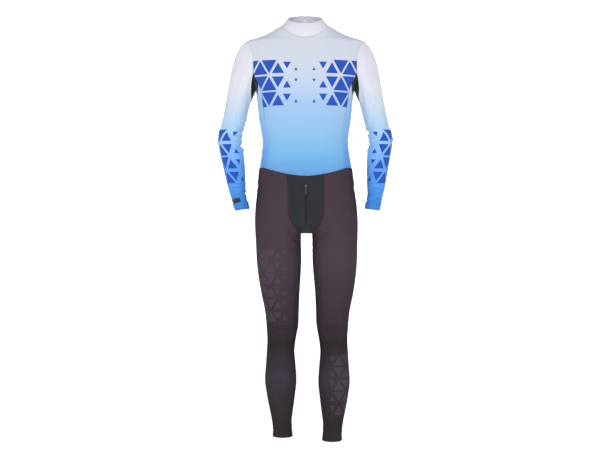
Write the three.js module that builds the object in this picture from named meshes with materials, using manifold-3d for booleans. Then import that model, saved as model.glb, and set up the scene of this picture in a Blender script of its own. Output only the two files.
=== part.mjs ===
import * as THREE from "three";
import { mergeVertices } from "three/addons/utils/BufferGeometryUtils.js";
import Module from "manifold-3d";

// A one-piece cross-country ski race suit, filled out as it is worn, with no wearer in it.
// A stretch top with a mock turtleneck, set-in sleeves, black underarm gussets and long cuffs is
// sewn at a dipped waist seam to close tights with a black fly panel that runs on as the crotch
// gusset. It closes with a centre-back zip and has a short fly zip.
// Millimetres, +Z up, the front faces -Y and the wearer's left is +X. Heights in the tables are
// above the floor that the wearer stands on; the whole group is then lowered to the shoulders.

// Driving sizes of a suit for a wearer 1780 tall with a 960 chest.
const SHOULDER_HEIGHT = 1460;
const SEAM_GAP = 0.3;
const TOP_CLOTH = 1.2;
const TIGHTS_CLOTH = 1.6;
const COLLAR_CLOTH = 1.8;
const HEM_EXTRA = 0.8;
const HEM_DEPTH = 20;

// Waist seam: level at the sides and back, dipping in front.
const WAIST_SIDE = 1026;
const WAIST_DIP = { fall: 29, halfWidth: 140, power: 1.7 };

// Horizontal sections of the top. mid is how far behind the axis the widest point lies.
const torso = sections(
  ["height", "halfWidth", "front", "back", "mid", "power"],
  [
    [985, 159, 100, 99, 0, 2.4],
    [1026, 156, 98, 91, 0, 2.4],
    [1055, 152, 97, 85, 0, 2.35],
    [1090, 147, 97, 81, 1, 2.3],
    [1125, 146, 99, 81, 2, 2.3],
    [1160, 151, 104, 86, 3, 2.3],
    [1200, 157, 109, 94, 4, 2.3],
    [1250, 162, 114, 106, 5, 2.3],
    [1290, 168, 114, 115, 7, 2.25],
    [1320, 182, 111, 118, 9, 2.25],
    [1350, 194, 105, 118, 10, 2.2],
    [1380, 202, 97, 116, 11, 2.2],
    [1415, 206, 85, 110, 12, 2.15],
    [1442, 205, 74, 103, 12, 2.1],
    [1461, 197, 66, 95, 12, 2.05],
    [1470, 167, 62, 91, 12, 2],
    [1478, 145, 60, 88, 11, 2],
    [1490, 119, 58, 84, 11, 2],
    [1501, 100, 57, 80, 10, 2],
    [1514, 77, 56, 74, 9, 2],
  ],
);

// The neckline, by angle round the body from centre front.
const neckline = sections(
  ["angle", "height"],
  [
    [0, 1465],
    [15, 1474],
    [30, 1488],
    [45, 1499],
    [65, 1509],
    [90, 1514],
    [135, 1513],
    [180, 1511],
  ],
);
const NECK_SIDE = 1514;
const NECK_DIP_STARTS = 1150;

// The collar's top edge is an oval that is higher behind than in front.
const COLLAR_TOP = {
  front: 1512,
  side: 1539,
  back: 1556,
  power: 1.2,
  halfWidth: 58,
  ahead: 50,
  behind: 68,
};

// The armhole is an oval, seen from the side.
const ARMHOLE = { centre: 1375.5, halfHeight: 85.5, halfDepth: 60 };
const GUSSET_TURN = 70;
const SIDE_SEAM_AT_WAIST = radians(53);
const GUSSET_BOW = 3;

// Sections square to the sleeve below the shoulder cap, at the sleeve's centre.
const arm = sections(
  ["height", "x", "y", "halfWidth", "halfDepth"],
  [
    [1260, 226, 12, 41, 50],
    [1238, 231, 12, 40.5, 48],
    [1191, 241, 13, 39.5, 45],
    [1157, 250, 14, 40, 43],
    [1140, 255, 14, 41.5, 42.5],
    [1106, 256, 12, 40.5, 41.5],
    [1089, 252.5, 9, 40, 41],
    [1055, 247.5, 2, 38.5, 39.5],
    [1021, 243, -6, 36, 37],
    [987, 239.5, -14, 32.5, 34],
    [967, 237.5, -19, 30.5, 32],
    [945, 234.5, -24, 28, 30],
    [920, 230, -30, 26, 29],
    [902, 225.5, -34, 27, 30],
    [886, 222, -38, 25, 29.5],
  ],
);
const CAP_END = 1238;
const CUFF_SEAM = 967;
const CUFF_END = 886;

// Sections of the tights. inner is the gap side of a leg, and counts only below the crotch.
const leg = sections(
  ["height", "inner", "outer", "front", "back", "mid", "power"],
  [
    [90, 49, 117, 37, 51, 8, 2],
    [111, 50, 117.5, 36, 50, 8, 2],
    [137, 52, 117.5, 34, 49, 8, 2],
    [171, 53, 121, 35, 52, 9, 2],
    [205, 49, 127.5, 37, 58, 10, 2],
    [250, 43, 136, 40, 67, 12, 2.05],
    [307, 37, 144.5, 44, 74, 13, 2.05],
    [360, 41, 141, 48, 69, 10, 2.1],
    [409, 44, 138, 54, 61, 5, 2.1],
    [450, 39, 136, 60, 56, 0, 2.15],
    [494, 31, 139, 65, 56, -2, 2.15],
    [545, 29, 144.5, 71, 62, -3, 2.1],
    [600, 27, 155, 79, 72, -4, 2.1],
    [660, 22, 165, 85, 82, -3, 2.15],
    [720, 19, 170.5, 89, 93, 0, 2.2],
    [770, 19, 172.5, 92, 106, 4, 2.25],
    [805, 19, 174, 95, 117, 7, 2.3],
    [850, 19, 175, 99, 126, 8, 2.35],
    [902, 19, 172, 102, 123, 6, 2.4],
    [950, 19, 165.5, 103, 112, 3, 2.4],
    [987, 19, 162.5, 102, 101, 1, 2.4],
    [1026, 19, 158, 100, 93, 0, 2.4],
  ],
);
const CROTCH = 805;
const CROTCH_CURVE = { height: 150, power: 2.5 };
const GUSSET_HALF = 19;
const INNER_SPREAD = 0.2;
const THIGH_SEAM = 621;
const HEM_HEIGHT = 115.5;
// The suit hangs a little unevenly: it leans to the wearer's left from the waist down, the left
// leg reaches lower than the right and the right cuff hangs closer to the body than the left.
const LEAN = { top: 1190, bottom: 600, by: 8 };
const LEFT_LEG_DROP = 14;
const DROP_STARTS = 470;
const RIGHT_CUFF_IN = 7;
const CUFF_IN_STARTS = 1130;

// Half widths of the black panel: of the fly in front, and of the gusset's tail behind.
const flyEdge = sections(
  ["height", "half"],
  [
    [805, 19],
    [808, 21],
    [814, 27],
    [826, 38],
    [842, 50],
    [862, 57],
    [900, 59],
    [1026, 60],
  ],
);
const tailEdge = sections(
  ["height", "half"],
  [
    [805, 19],
    [814, 17.5],
    [826, 14],
    [842, 9],
    [862, 4],
  ],
);
// The tail ends at this step of the rows round the crotch curve.
const TAIL_STEP = 5;
const FLY_CROWN = 0.0012;

// Zips: a moulded chain in a slot, a slider on it and a hanging pull tab.
const CHAIN_HALF = 2.5;
const CHAIN_PROUD = 0.7;
const FLY_ZIP = { top: 974, bottom: 842 };
const FLY_SLIDER_HEIGHT = 962;
const BACK_SLIDER_BELOW_TOP = 9;
const SLIDER = { width: 8, height: 11, depth: 2.2, bailReach: 3.7, bailRise: 3.4, bailThick: 1.2 };
const PULL = { width: 5.6, length: 25, thick: 1.2, eyeLength: 5.4, eyeHalf: 1.3, bar: 1.1 };
const TAB_STANDOFF = 1.35;

// A plain patch on the wearer's right cuff, on its outer front.
const CUFF_PATCH = { turn: 118, height: 916, width: 36, tall: 13, thick: 0.8 };

// Folds: where each is centred, how far it runs, how wide and deep it is (ridges positive), and
// its slope. On a sleeve turn is 0 under the arm, 90 in front and 180 outside.
const sleeveFolds = folds(
  ["turn", "height", "halfLength", "halfWidth", "depth", "slope"],
  [
    [20, 1151, 30, 7, -3.4, 12],
    [30, 1140, 26, 7, 1.8, 14],
    [12, 1100, 34, 7, -3.6, -8],
    [16, 1088, 30, 8, 2.4, -10],
    [-35, 1128, 30, 8, -2.2, 8],
    [60, 1318, 7, 52, -2.2, 82],
    [95, 1300, 7, 70, 1.6, 86],
    [118, 1290, 8, 80, -1.6, 90],
    [150, 1270, 8, 70, 1.2, 94],
    [-70, 1310, 8, 60, -1.8, 96],
    [-110, 1290, 8, 75, 1.5, 90],
    [40, 960, 30, 4.5, -1.8, 6],
    [100, 952, 34, 5, 1.4, -5],
    [15, 941, 26, 5, -2.2, 8],
    [70, 930, 34, 5, 1.5, 4],
    [-20, 920, 28, 5, -2.4, -6],
    [55, 908, 30, 6, -1.6, 6],
    [-80, 936, 34, 5, -1.5, 5],
  ],
);
// On a leg turn is 0 at the outer side, -90 in front and 90 behind.
const legFolds = folds(
  ["turn", "height", "halfLength", "halfWidth", "depth", "slope"],
  [
    [-92, 489, 34, 6, 2.2, -3],
    [-90, 477, 38, 7, -2.2, 2],
    [95, 500, 34, 8, -2.6, 4],
    [88, 478, 30, 8, -2, -5],
    [-150, 776, 28, 6, -2.6, 24],
    [-142, 762, 30, 6, 1.6, 28],
    [140, 790, 30, 7, -2.2, -24],
    [-60, 131, 30, 5, -1.4, 6],
    [-130, 136, 24, 5, -1.6, -8],
    [60, 140, 30, 5, -1.4, 5],
  ],
);

// Smooth curves through a table's columns, against its first column, flat past its ends.
function sections(names, rows) {
  const at = rows.map((row) => row[0]);
  const columns = names.slice(1).map((name, k) => {
    const values = rows.map((row) => row[k + 1]);
    const rates = values.slice(1).map((v, i) => (v - values[i]) / (at[i + 1] - at[i]));
    const slopes = values.map((_, i) => {
      if (i === 0) return rates[0];
      if (i === rates.length) return rates[i - 1];
      const before = at[i] - at[i - 1];
      const after = at[i + 1] - at[i];
      return (rates[i - 1] * after + rates[i] * before) / (before + after);
    });
    return { name, values, slopes };
  });
  return (place) => {
    const descending = at[0] > at[at.length - 1];
    const low = descending ? at[at.length - 1] : at[0];
    const high = descending ? at[0] : at[at.length - 1];
    const x = Math.min(Math.max(place, low), high);
    let i = 0;
    while (i < at.length - 2 && (descending ? x < at[i + 1] : x > at[i + 1])) i += 1;
    const span = at[i + 1] - at[i];
    const t = (x - at[i]) / span;
    const found = {};
    for (const { name, values, slopes } of columns) {
      found[name] =
        (1 + 2 * t) * (1 - t) ** 2 * values[i] +
        t * (1 - t) ** 2 * span * slopes[i] +
        t * t * (3 - 2 * t) * values[i + 1] +
        t * t * (t - 1) * span * slopes[i + 1];
    }
    return found;
  };
}

// The height of all folds of a table at a place: each is a soft ridge or trough with fading ends.
function folds(names, rows) {
  const list = rows.map((row) => Object.fromEntries(row.map((v, k) => [names[k], v])));
  return (turn, height, radius) => {
    let sum = 0;
    for (const fold of list) {
      const round = radians(((turn - fold.turn + 540) % 360) - 180) * radius;
      const up = height - fold.height;
      const slope = radians(fold.slope);
      const along = round * Math.cos(slope) + up * Math.sin(slope);
      const across = -round * Math.sin(slope) + up * Math.cos(slope);
      // A fold that runs up the cloth keeps its long side along the slope.
      const tall = Math.abs(fold.slope) > 45;
      const long = tall ? fold.halfWidth : fold.halfLength;
      const short = tall ? fold.halfLength : fold.halfWidth;
      sum += fold.depth * Math.exp(-((along / long) ** 2) - (across / short) ** 2);
    }
    return sum;
  };
}

function radians(degrees) {
  return (degrees * Math.PI) / 180;
}

// Evenly spaced values from a to b, both included.
function steps(a, b, count) {
  return Array.from({ length: count + 1 }, (_, i) => a + ((b - a) * i) / count);
}

// One coordinate of a rounded oval: sine or cosine raised so that power 2 is an ellipse.
function oval(value, power) {
  return Math.sign(value) * Math.abs(value) ** (2 / power);
}

// Adds the outward normal to a surface function of two parameters.
function skinOf(surface, stepU, stepV, outward = 1) {
  return (u, v) => {
    const point = surface(u, v);
    const alongU = surface(u + stepU, v).sub(surface(u - stepU, v));
    const alongV = surface(u, v + stepV).sub(surface(u, v - stepV));
    return { point, normal: alongU.cross(alongV).normalize().multiplyScalar(outward) };
  };
}

// How far the garment leans sideways at a height.
function lean(height) {
  const share = (LEAN.top - height) / (LEAN.top - LEAN.bottom);
  return LEAN.by * Math.min(Math.max(share, 0), 1);
}

// A sample moved along its own normal.
function lifted(sample, by) {
  return { point: sample.point.clone().addScaledVector(sample.normal, by), normal: sample.normal };
}

// The same sample on the other side of the body.
function mirrored({ point, normal }) {
  const flip = new THREE.Vector3(-1, 1, 1);
  return { point: point.clone().multiply(flip), normal: normal.clone().multiply(flip) };
}

// Turns a grid of skin samples into one closed wall of cloth. thickness is a number or a function
// of the row. keep says which cells are cloth, and ring joins the last column to the first.
function wall(name, grid, { thickness, material, keep = () => true, ring = false }) {
  const rows = grid.length;
  const columns = grid[0].length;
  const depth = typeof thickness === "number" ? () => thickness : thickness;
  const vertices = [];
  for (const inside of [0, 1]) {
    grid.forEach((row, i) => {
      for (const { point, normal } of row) {
        const p = point.clone().addScaledVector(normal, -inside * depth(i));
        vertices.push(p.x + lean(point.z), p.y, p.z);
      }
    });
  }
  const at = (i, j, inside) => (inside * rows + i) * columns + (j % columns);
  const cellColumns = ring ? columns : columns - 1;
  const kept = (i, j) => {
    const column = ring ? (j + cellColumns) % cellColumns : j;
    return i >= 0 && i < rows - 1 && column >= 0 && column < cellColumns && keep(i, column);
  };
  const triangles = [];
  const face = (a, b, c, d) => triangles.push(a, b, c, a, c, d);
  for (let i = 0; i < rows - 1; i += 1) {
    for (let j = 0; j < cellColumns; j += 1) {
      if (!kept(i, j)) continue;
      face(at(i, j, 0), at(i, j + 1, 0), at(i + 1, j + 1, 0), at(i + 1, j, 0));
      face(at(i, j, 1), at(i + 1, j, 1), at(i + 1, j + 1, 1), at(i, j + 1, 1));
      if (!kept(i - 1, j)) face(at(i, j + 1, 0), at(i, j, 0), at(i, j, 1), at(i, j + 1, 1));
      if (!kept(i + 1, j)) {
        face(at(i + 1, j, 0), at(i + 1, j + 1, 0), at(i + 1, j + 1, 1), at(i + 1, j, 1));
      }
      if (!kept(i, j - 1)) face(at(i, j, 0), at(i + 1, j, 0), at(i + 1, j, 1), at(i, j, 1));
      if (!kept(i, j + 1)) {
        face(at(i + 1, j + 1, 0), at(i, j + 1, 0), at(i, j + 1, 1), at(i + 1, j + 1, 1));
      }
    }
  }
  // The grid may run either way round, so the faces are turned to point out with the normals.
  const corner = (k) => new THREE.Vector3().fromArray(vertices, 3 * triangles[k]);
  const first = corner(1).sub(corner(0)).cross(corner(2).sub(corner(0)));
  const [i0, j0] = firstKept(rows, cellColumns, kept);
  if (first.dot(grid[i0][j0].normal) < 0) {
    for (let k = 0; k < triangles.length; k += 3) {
      [triangles[k + 1], triangles[k + 2]] = [triangles[k + 2], triangles[k + 1]];
    }
  }
  const used = [...new Set(triangles)];
  const renumber = new Map(used.map((old, now) => [old, now]));
  const positions = used.flatMap((v) => vertices.slice(3 * v, 3 * v + 3));
  const geometry = new THREE.BufferGeometry();
  geometry.setAttribute("position", new THREE.Float32BufferAttribute(positions, 3));
  geometry.setIndex(triangles.map((v) => renumber.get(v)));
  geometry.computeVertexNormals();
  return named(name, geometry, material);
}

function firstKept(rows, columns, kept) {
  for (let i = 0; i < rows - 1; i += 1) {
    for (let j = 0; j < columns; j += 1) if (kept(i, j)) return [i, j];
  }
  throw new Error("a wall needs at least one cell");
}

function named(name, geometry, material) {
  const mesh = new THREE.Mesh(geometry, material);
  mesh.name = name;
  return mesh;
}

function cloth(color, roughness, metalness = 0) {
  return new THREE.MeshStandardMaterial({ color, roughness, metalness });
}

const FINISH = {
  top: cloth(0xdfe3ee, 0.62),
  midTop: cloth(0x8fc4f0, 0.62),
  cuff: cloth(0x4f97e6, 0.6),
  mesh: cloth(0x101214, 0.8),
  tights: cloth(0x3b363a, 0.5),
  fly: cloth(0x25262a, 0.7),
  coil: cloth(0x141518, 0.45),
  whiteCoil: cloth(0xe6e8ee, 0.45),
  metal: cloth(0xb9bcc2, 0.3, 0.9),
  patch: cloth(0x14182a, 0.5),
};

// The top

function torsoPoint(angle, height) {
  const s = torso(height);
  const ahead = oval(Math.cos(angle), s.power);
  const depth = ahead > 0 ? s.front + s.mid : s.back - s.mid;
  return new THREE.Vector3(
    s.halfWidth * oval(Math.sin(angle), s.power),
    s.mid - depth * ahead,
    height,
  );
}
const torsoSkin = skinOf(torsoPoint, 0.01, 1);

// Where the armhole's oval lies on the top: turn is 0 under the arm and positive towards the front.
function armholePlace(turn) {
  const height = ARMHOLE.centre - ARMHOLE.halfHeight * Math.cos(turn);
  const ahead = ARMHOLE.halfDepth * Math.sin(turn);
  const s = torso(height);
  const share = Math.abs(ahead) / (ahead > 0 ? s.front + s.mid : s.back - s.mid);
  const fromFront = Math.acos(share ** (s.power / 2));
  return { angle: ahead > 0 ? fromFront : Math.PI - fromFront, height };
}

// How far the waist seam hangs below its side height, at a distance from the centre front.
function waistFall(x) {
  const share = Math.abs(x) / WAIST_DIP.halfWidth;
  return share < 1 ? WAIST_DIP.fall * (1 - share ** WAIST_DIP.power) : 0;
}

function waistFallAt(angle) {
  return Math.cos(angle) > 0 ? waistFall(torsoPoint(angle, WAIST_SIDE).x) : 0;
}

// Rows of the top, as heights at the side seam. The upper ones meet the armhole at even turns,
// so that the sleeve's columns can start on the same points.
const JOIN = armholePlace(radians(GUSSET_TURN));
const ARMHOLE_TURNS = steps(GUSSET_TURN, 180, 6).map(radians);
const GUSSET_LOW = 1306;
const lowerRows = [
  WAIST_SIDE,
  ...[1050, 1080, 1112, 1146, 1182, 1220, 1256, 1284],
  GUSSET_LOW - SEAM_GAP / 2,
  GUSSET_LOW + SEAM_GAP / 2,
  (GUSSET_LOW + JOIN.height) / 2,
];
const armholeRows = ARMHOLE_TURNS.map((turn) => armholePlace(turn).height);
const shoulderRows = [1469, 1479, 1494, NECK_SIDE];
const topRows = [...lowerRows, ...armholeRows, ...shoulderRows];
const JOIN_ROW = lowerRows.length;
const TIP_ROW = JOIN_ROW + armholeRows.length - 1;

function sideSeam(height, behind) {
  const share = (height - WAIST_SIDE) / (JOIN.height - WAIST_SIDE);
  const { angle } = armholePlace(radians(behind ? -GUSSET_TURN : GUSSET_TURN));
  const top = behind ? Math.PI - angle : angle;
  return SIDE_SEAM_AT_WAIST * (1 - share) + top * share;
}

// The height of a row in one column, which shares the dip at its foot and at its neck with the
// rows between. atWaist and atNeck are angles.
function rowHeight(row, atWaist, atNeck) {
  const height = topRows[row];
  const low = Math.max(1 - (height - WAIST_SIDE) / (JOIN.height - WAIST_SIDE), 0);
  const high = Math.max((height - NECK_DIP_STARTS) / (NECK_SIDE - NECK_DIP_STARTS), 0);
  const neck = neckline((atNeck * 180) / Math.PI).height;
  const seam = row === 0 ? SEAM_GAP / 2 : 0;
  return height - waistFallAt(atWaist) * low + (neck - NECK_SIDE) * high + seam;
}

// The outline angle of the front (or back) panel at a row, from its own centre line.
function panelEdge(row, behind) {
  if (row >= TIP_ROW) return Math.PI / 2;
  if (row >= JOIN_ROW) {
    const turn = ARMHOLE_TURNS[row - JOIN_ROW];
    const { angle } = armholePlace(behind ? -turn : turn);
    return behind ? Math.PI - angle : angle;
  }
  return sideSeam(topRows[row], behind);
}

// Angle on the surface that is half a seam's gap wide there.
function halfGap(angle, height, by = SEAM_GAP / 2) {
  const apart = torsoPoint(angle + 0.01, height).distanceTo(torsoPoint(angle - 0.01, height));
  return (0.02 * by) / Math.max(apart, 1);
}

// One column of the front or back: share is 0 on the centre line and 1 on the panel's edge.
function panelSample(row, share, behind) {
  const limit = panelEdge(row, behind);
  const facing = (angle) => (behind ? Math.PI - angle : angle);
  const atWaist = facing(share * SIDE_SEAM_AT_WAIST);
  const height = rowHeight(row, atWaist, facing((share * Math.PI) / 2));
  const isSeam = row < JOIN_ROW || row > TIP_ROW;
  const trim = isSeam ? halfGap(facing(limit), topRows[row]) : 0;
  const zipEdge = behind ? halfGap(Math.PI, height, CHAIN_HALF + SEAM_GAP) : 0;
  return torsoSkin(facing(zipEdge + share * (limit - trim - zipEdge)), height);
}

const ROW_LIST = topRows.map((_, row) => row);
const PANEL_COLUMNS = 7;

function frontPanel() {
  const shares = steps(-1, 1, 2 * PANEL_COLUMNS);
  const grid = ROW_LIST.map((row) =>
    shares.map((share) =>
      share < 0 ? mirrored(panelSample(row, -share, false)) : panelSample(row, share, false),
    ),
  );
  return wall("front_body", grid, { thickness: TOP_CLOTH, material: FINISH.midTop });
}

function backPanel(name, place) {
  const panelShares = steps(0, 1, PANEL_COLUMNS);
  const grid = ROW_LIST.map((row) => panelShares.map((share) => place(panelSample(row, share, true))));
  return wall(name, grid, { thickness: TOP_CLOTH, material: FINISH.midTop });
}

// Side panel and the gusset's body part share columns from the front seam (-1) to the back (1).
const SIDE_SHARES = steps(-1, 1, 6);

function sideSample(row, share) {
  const join = armholePlace(radians(-GUSSET_TURN * share));
  const frontEdge = panelEdge(Math.min(row, JOIN_ROW), false);
  const backEdge = Math.PI - panelEdge(Math.min(row, JOIN_ROW), true);
  const frontTrim = halfGap(frontEdge, topRows[row]);
  const backTrim = halfGap(backEdge, topRows[row]);
  const t = (share + 1) / 2;
  const seamAngle = (frontEdge + frontTrim) * (1 - t) + (backEdge - backTrim) * t;
  const up = (topRows[row] - WAIST_SIDE) / (JOIN.height - WAIST_SIDE);
  const atWaist = SIDE_SEAM_AT_WAIST * (1 - t) + (Math.PI - SIDE_SEAM_AT_WAIST) * t;
  // Near the armhole the rows bow down to follow its underside.
  const level = rowHeight(row, atWaist, Math.PI / 2);
  const bow = up ** GUSSET_BOW;
  const trim = (share < 0 ? frontTrim : -backTrim) * Math.abs(share) ** 8;
  const angle = seamAngle * (1 - bow) + (join.angle + trim) * bow;
  return torsoSkin(angle, level - (JOIN.height - join.height) * bow);
}

const GUSSET_ROW = lowerRows.indexOf(GUSSET_LOW + SEAM_GAP / 2);

function sidePanel(name, place) {
  const grid = ROW_LIST.slice(0, GUSSET_ROW).map((row) =>
    SIDE_SHARES.map((share) => place(sideSample(row, share))),
  );
  return wall(name, grid, { thickness: TOP_CLOTH, material: FINISH.midTop });
}

// The sleeve. turn is 0 towards the body, positive to the front. v runs 0 to 1 over the shoulder
// cap, from the armhole to the first square section, and 1 to 2 from there to the cuff's end.

// The cuff ends level from front to back, so its rows lose the sleeve's forward slope on the way down.
const slopeShare = (height) => 1 - Math.min(Math.max((CUFF_SEAM - height) / (CUFF_SEAM - CUFF_END), 0), 1);

function armRing(turn, height) {
  const s = arm(height);
  const below = arm(height - 1);
  const above = arm(height + 1);
  const forward = (above.y - below.y) * slopeShare(height);
  const up = new THREE.Vector3(above.x - below.x, forward, 2).normalize();
  const outward = new THREE.Vector3(0, 1, 0).cross(up).normalize();
  const behind = up.clone().cross(outward);
  return new THREE.Vector3(s.x, s.y, height)
    .addScaledVector(outward, -s.halfWidth * Math.cos(turn))
    .addScaledVector(behind, -s.halfDepth * Math.sin(turn));
}

const CAP_START_TOP = new THREE.Vector3(0.87, 0, -0.49);
const CAP_START_LOW = new THREE.Vector3(0.32, 0, -0.95);
const CAP_FULLNESS = { low: 1, top: 0.78 };
// The folds fade in over this share of the cap, so that the armhole seam stays smooth.
const FOLDS_START = 0.3;

function plainSleeve(turn, v) {
  if (v >= 1) return armRing(turn, CAP_END - (v - 1) * (CAP_END - CUFF_END));
  const place = armholePlace(turn);
  const start = torsoPoint(place.angle, place.height);
  const end = armRing(turn, CAP_END);
  const length = start.distanceTo(end);
  const topShare = (1 - Math.cos(turn)) / 2;
  const leaving = CAP_START_LOW.clone().lerp(CAP_START_TOP, topShare).normalize();
  leaving.multiplyScalar(CAP_FULLNESS.low + (CAP_FULLNESS.top - CAP_FULLNESS.low) * topShare);
  const arriving = armRing(turn, CAP_END - 1).sub(armRing(turn, CAP_END)).normalize();
  return new THREE.Vector3()
    .addScaledVector(start, (1 + 2 * v) * (1 - v) ** 2)
    .addScaledVector(leaving, v * (1 - v) ** 2 * length)
    .addScaledVector(end, v * v * (3 - 2 * v))
    .addScaledVector(arriving, v * v * (v - 1) * length);
}
const plainSleeveSkin = skinOf(plainSleeve, 0.01, 0.002, -1);

function foldedSleeve(turn, v) {
  const sample = plainSleeveSkin(turn, v);
  const fade = Math.min(v / FOLDS_START, 1);
  const rise = sleeveFolds((turn * 180) / Math.PI, sample.point.z, arm(sample.point.z).halfWidth);
  return sample.point.addScaledVector(sample.normal, fade * rise);
}
const sleeveSkin = skinOf(foldedSleeve, 0.02, 0.004, -1);

const sleeveV = (height) => 1 + (CAP_END - height) / (CAP_END - CUFF_END);
const capStart = (turn) => {
  const place = armholePlace(turn);
  return SEAM_GAP / torsoPoint(place.angle, place.height).distanceTo(armRing(turn, CAP_END));
};
// The gusset's half turn on the sleeve, from the armhole to its blunt tip.
const GUSSET_CAP_END = 0.62;
const GUSSET_TIP_TURN = 4;
const GUSSET_TAPER = 0.8;
const GUSSET_TIP_BACK = 0.006;
const gussetTurn = (v) => {
  const left = 1 - Math.min(v / GUSSET_CAP_END, 1);
  return radians(GUSSET_TIP_TURN + (GUSSET_TURN - GUSSET_TIP_TURN) * left ** GUSSET_TAPER);
};
const turnGap = (v) => SEAM_GAP / 2 / (v < 1 ? ARMHOLE.halfDepth : arm(CAP_END).halfWidth);
const CAP_ROWS = [0, 0.14, 0.3, 0.46, GUSSET_CAP_END, 0.8, 1];
const GUSSET_CAP_ROW = CAP_ROWS.indexOf(GUSSET_CAP_END);

// Columns of a sleeve row: under the arm the gusset's own, then evenly up to the shoulder.
function sleeveTurns(v, part) {
  const edge = gussetTurn(v);
  const gap = turnGap(v);
  if (part === "gusset") return SIDE_SHARES.map((share) => -share * (edge - gap));
  const shares = ARMHOLE_TURNS.map(
    (turn) => (turn - ARMHOLE_TURNS[0]) / (Math.PI - ARMHOLE_TURNS[0]),
  );
  const front = shares.map((share) => edge + gap + (Math.PI - edge - gap) * share);
  return [...front, ...front.slice(0, -1).reverse().map((turn) => 2 * Math.PI - turn)];
}

// The armhole's own points are kept to within the gap where the sleeve starts.
function armholeTurns() {
  const front = ARMHOLE_TURNS.map((turn, k) => (k === 0 ? turn + turnGap(0) : turn));
  return [...front, ...front.slice(0, -1).reverse().map((turn) => 2 * Math.PI - turn)];
}

const SLEEVE_ROWS = [
  ...[1206, 1178, 1162, 1151, 1141, 1130, 1116, 1104, 1094, 1080, 1056, 1024, 994],
  CUFF_SEAM + SEAM_GAP / 2,
];
const CUFF_ROWS = [
  CUFF_SEAM - SEAM_GAP / 2,
  ...[959, 950, 941, 931, 921, 910, 897],
  CUFF_END,
];

function sleeve(name, place) {
  const capRows = CAP_ROWS.map((v) =>
    (v === 0 ? armholeTurns() : sleeveTurns(v, "sleeve")).map((turn) =>
      place(sleeveSkin(turn, v === 0 ? capStart(turn) : v)),
    ),
  );
  const lowRows = SLEEVE_ROWS.map((height) => {
    const v = sleeveV(height);
    return sleeveTurns(v, "sleeve").map((turn) => place(sleeveSkin(turn, v)));
  });
  const grid = [...capRows, ...lowRows];
  const open = GUSSET_CAP_ROW;
  const last = grid[0].length - 1;
  const wallOptions = { thickness: TOP_CLOTH, material: FINISH.top, ring: true };
  return wall(name, grid, { ...wallOptions, keep: (i, j) => i >= open || j < last });
}

function cuff(name, place) {
  const turns = steps(0, 2 * Math.PI, 18).slice(0, -1);
  const grid = CUFF_ROWS.map((height) =>
    turns.map((turn) => place(sleeveSkin(turn, sleeveV(height)))),
  );
  const thickness = (row) => TOP_CLOTH + (row >= CUFF_ROWS.length - 2 ? HEM_EXTRA : 0);
  return wall(name, grid, { thickness, material: FINISH.cuff, ring: true });
}

// The diamond gusset folds over the armhole: its body part, then its sleeve part.
function gusset(name, place) {
  const body = ROW_LIST.slice(GUSSET_ROW, JOIN_ROW).map((row) =>
    SIDE_SHARES.map((share) => sideSample(row, share)),
  );
  const fold = SIDE_SHARES.map((share) => {
    const onBody = sideSample(JOIN_ROW, share);
    const onSleeve = sleeveSkin(-share * (radians(GUSSET_TURN) - turnGap(0)), 0);
    const normal = onBody.normal.clone().add(onSleeve.normal).normalize();
    return { point: onBody.point, normal };
  });
  const arms = CAP_ROWS.slice(1, GUSSET_CAP_ROW + 1).map((v) => {
    const inside = v === GUSSET_CAP_END ? v - GUSSET_TIP_BACK : v;
    return sleeveTurns(v, "gusset").map((turn) => sleeveSkin(turn, inside));
  });
  const grid = [...body, fold, ...arms].map((row) => row.map(place));
  return wall(name, grid, { thickness: TOP_CLOTH, material: FINISH.mesh });
}

function cuffPatch() {
  const middle = arm(CUFF_PATCH.height);
  const half = CUFF_PATCH.width / 2 / middle.halfDepth;
  const turns = steps(radians(CUFF_PATCH.turn) - half, radians(CUFF_PATCH.turn) + half, 8);
  const heights = steps(
    CUFF_PATCH.height + CUFF_PATCH.tall / 2,
    CUFF_PATCH.height - CUFF_PATCH.tall / 2,
    5,
  );
  const grid = heights.map((height) =>
    turns.map((turn) => {
      const sample = sleeveSkin(turn, sleeveV(height));
      return ofRightArm(lifted(sample, 2 * SEAM_GAP + CUFF_PATCH.thick));
    }),
  );
  return wall("cuff_patch", grid, { thickness: CUFF_PATCH.thick, material: FINISH.patch });
}

// The collar stands on the neckline. rise is 0 at its seam and 1 at its top edge.

function collarPoint(angle, rise) {
  const degrees = (Math.abs(angle) * 180) / Math.PI;
  const base = torsoPoint(angle, neckline(degrees).height);
  const ahead = torso(NECK_SIDE).mid - base.y;
  const reach = ahead > 0 ? COLLAR_TOP.ahead : COLLAR_TOP.behind;
  const round = Math.atan2(base.x / COLLAR_TOP.halfWidth, ahead / reach);
  const cos = Math.cos(round);
  const mid = torso(NECK_SIDE).mid;
  const far = cos > 0 ? COLLAR_TOP.front : COLLAR_TOP.back;
  const top = new THREE.Vector3(
    COLLAR_TOP.halfWidth * Math.sin(round),
    cos > 0 ? mid - (COLLAR_TOP.ahead + mid) * cos : mid - (COLLAR_TOP.behind - mid) * cos,
    COLLAR_TOP.side + (far - COLLAR_TOP.side) * Math.abs(cos) ** COLLAR_TOP.power,
  );
  return base.lerp(top, rise);
}
const collarSlant = skinOf(collarPoint, 0.01, 0.02);

// The collar's wall is measured level, so that its foot stays above the neck seam.
function collarSkin(angle, rise) {
  const sample = collarSlant(angle, rise);
  sample.normal.setZ(0).normalize();
  return sample;
}
const COLLAR_RISES = [0.008, 0.25, 0.5, 0.75, 1];

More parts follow.
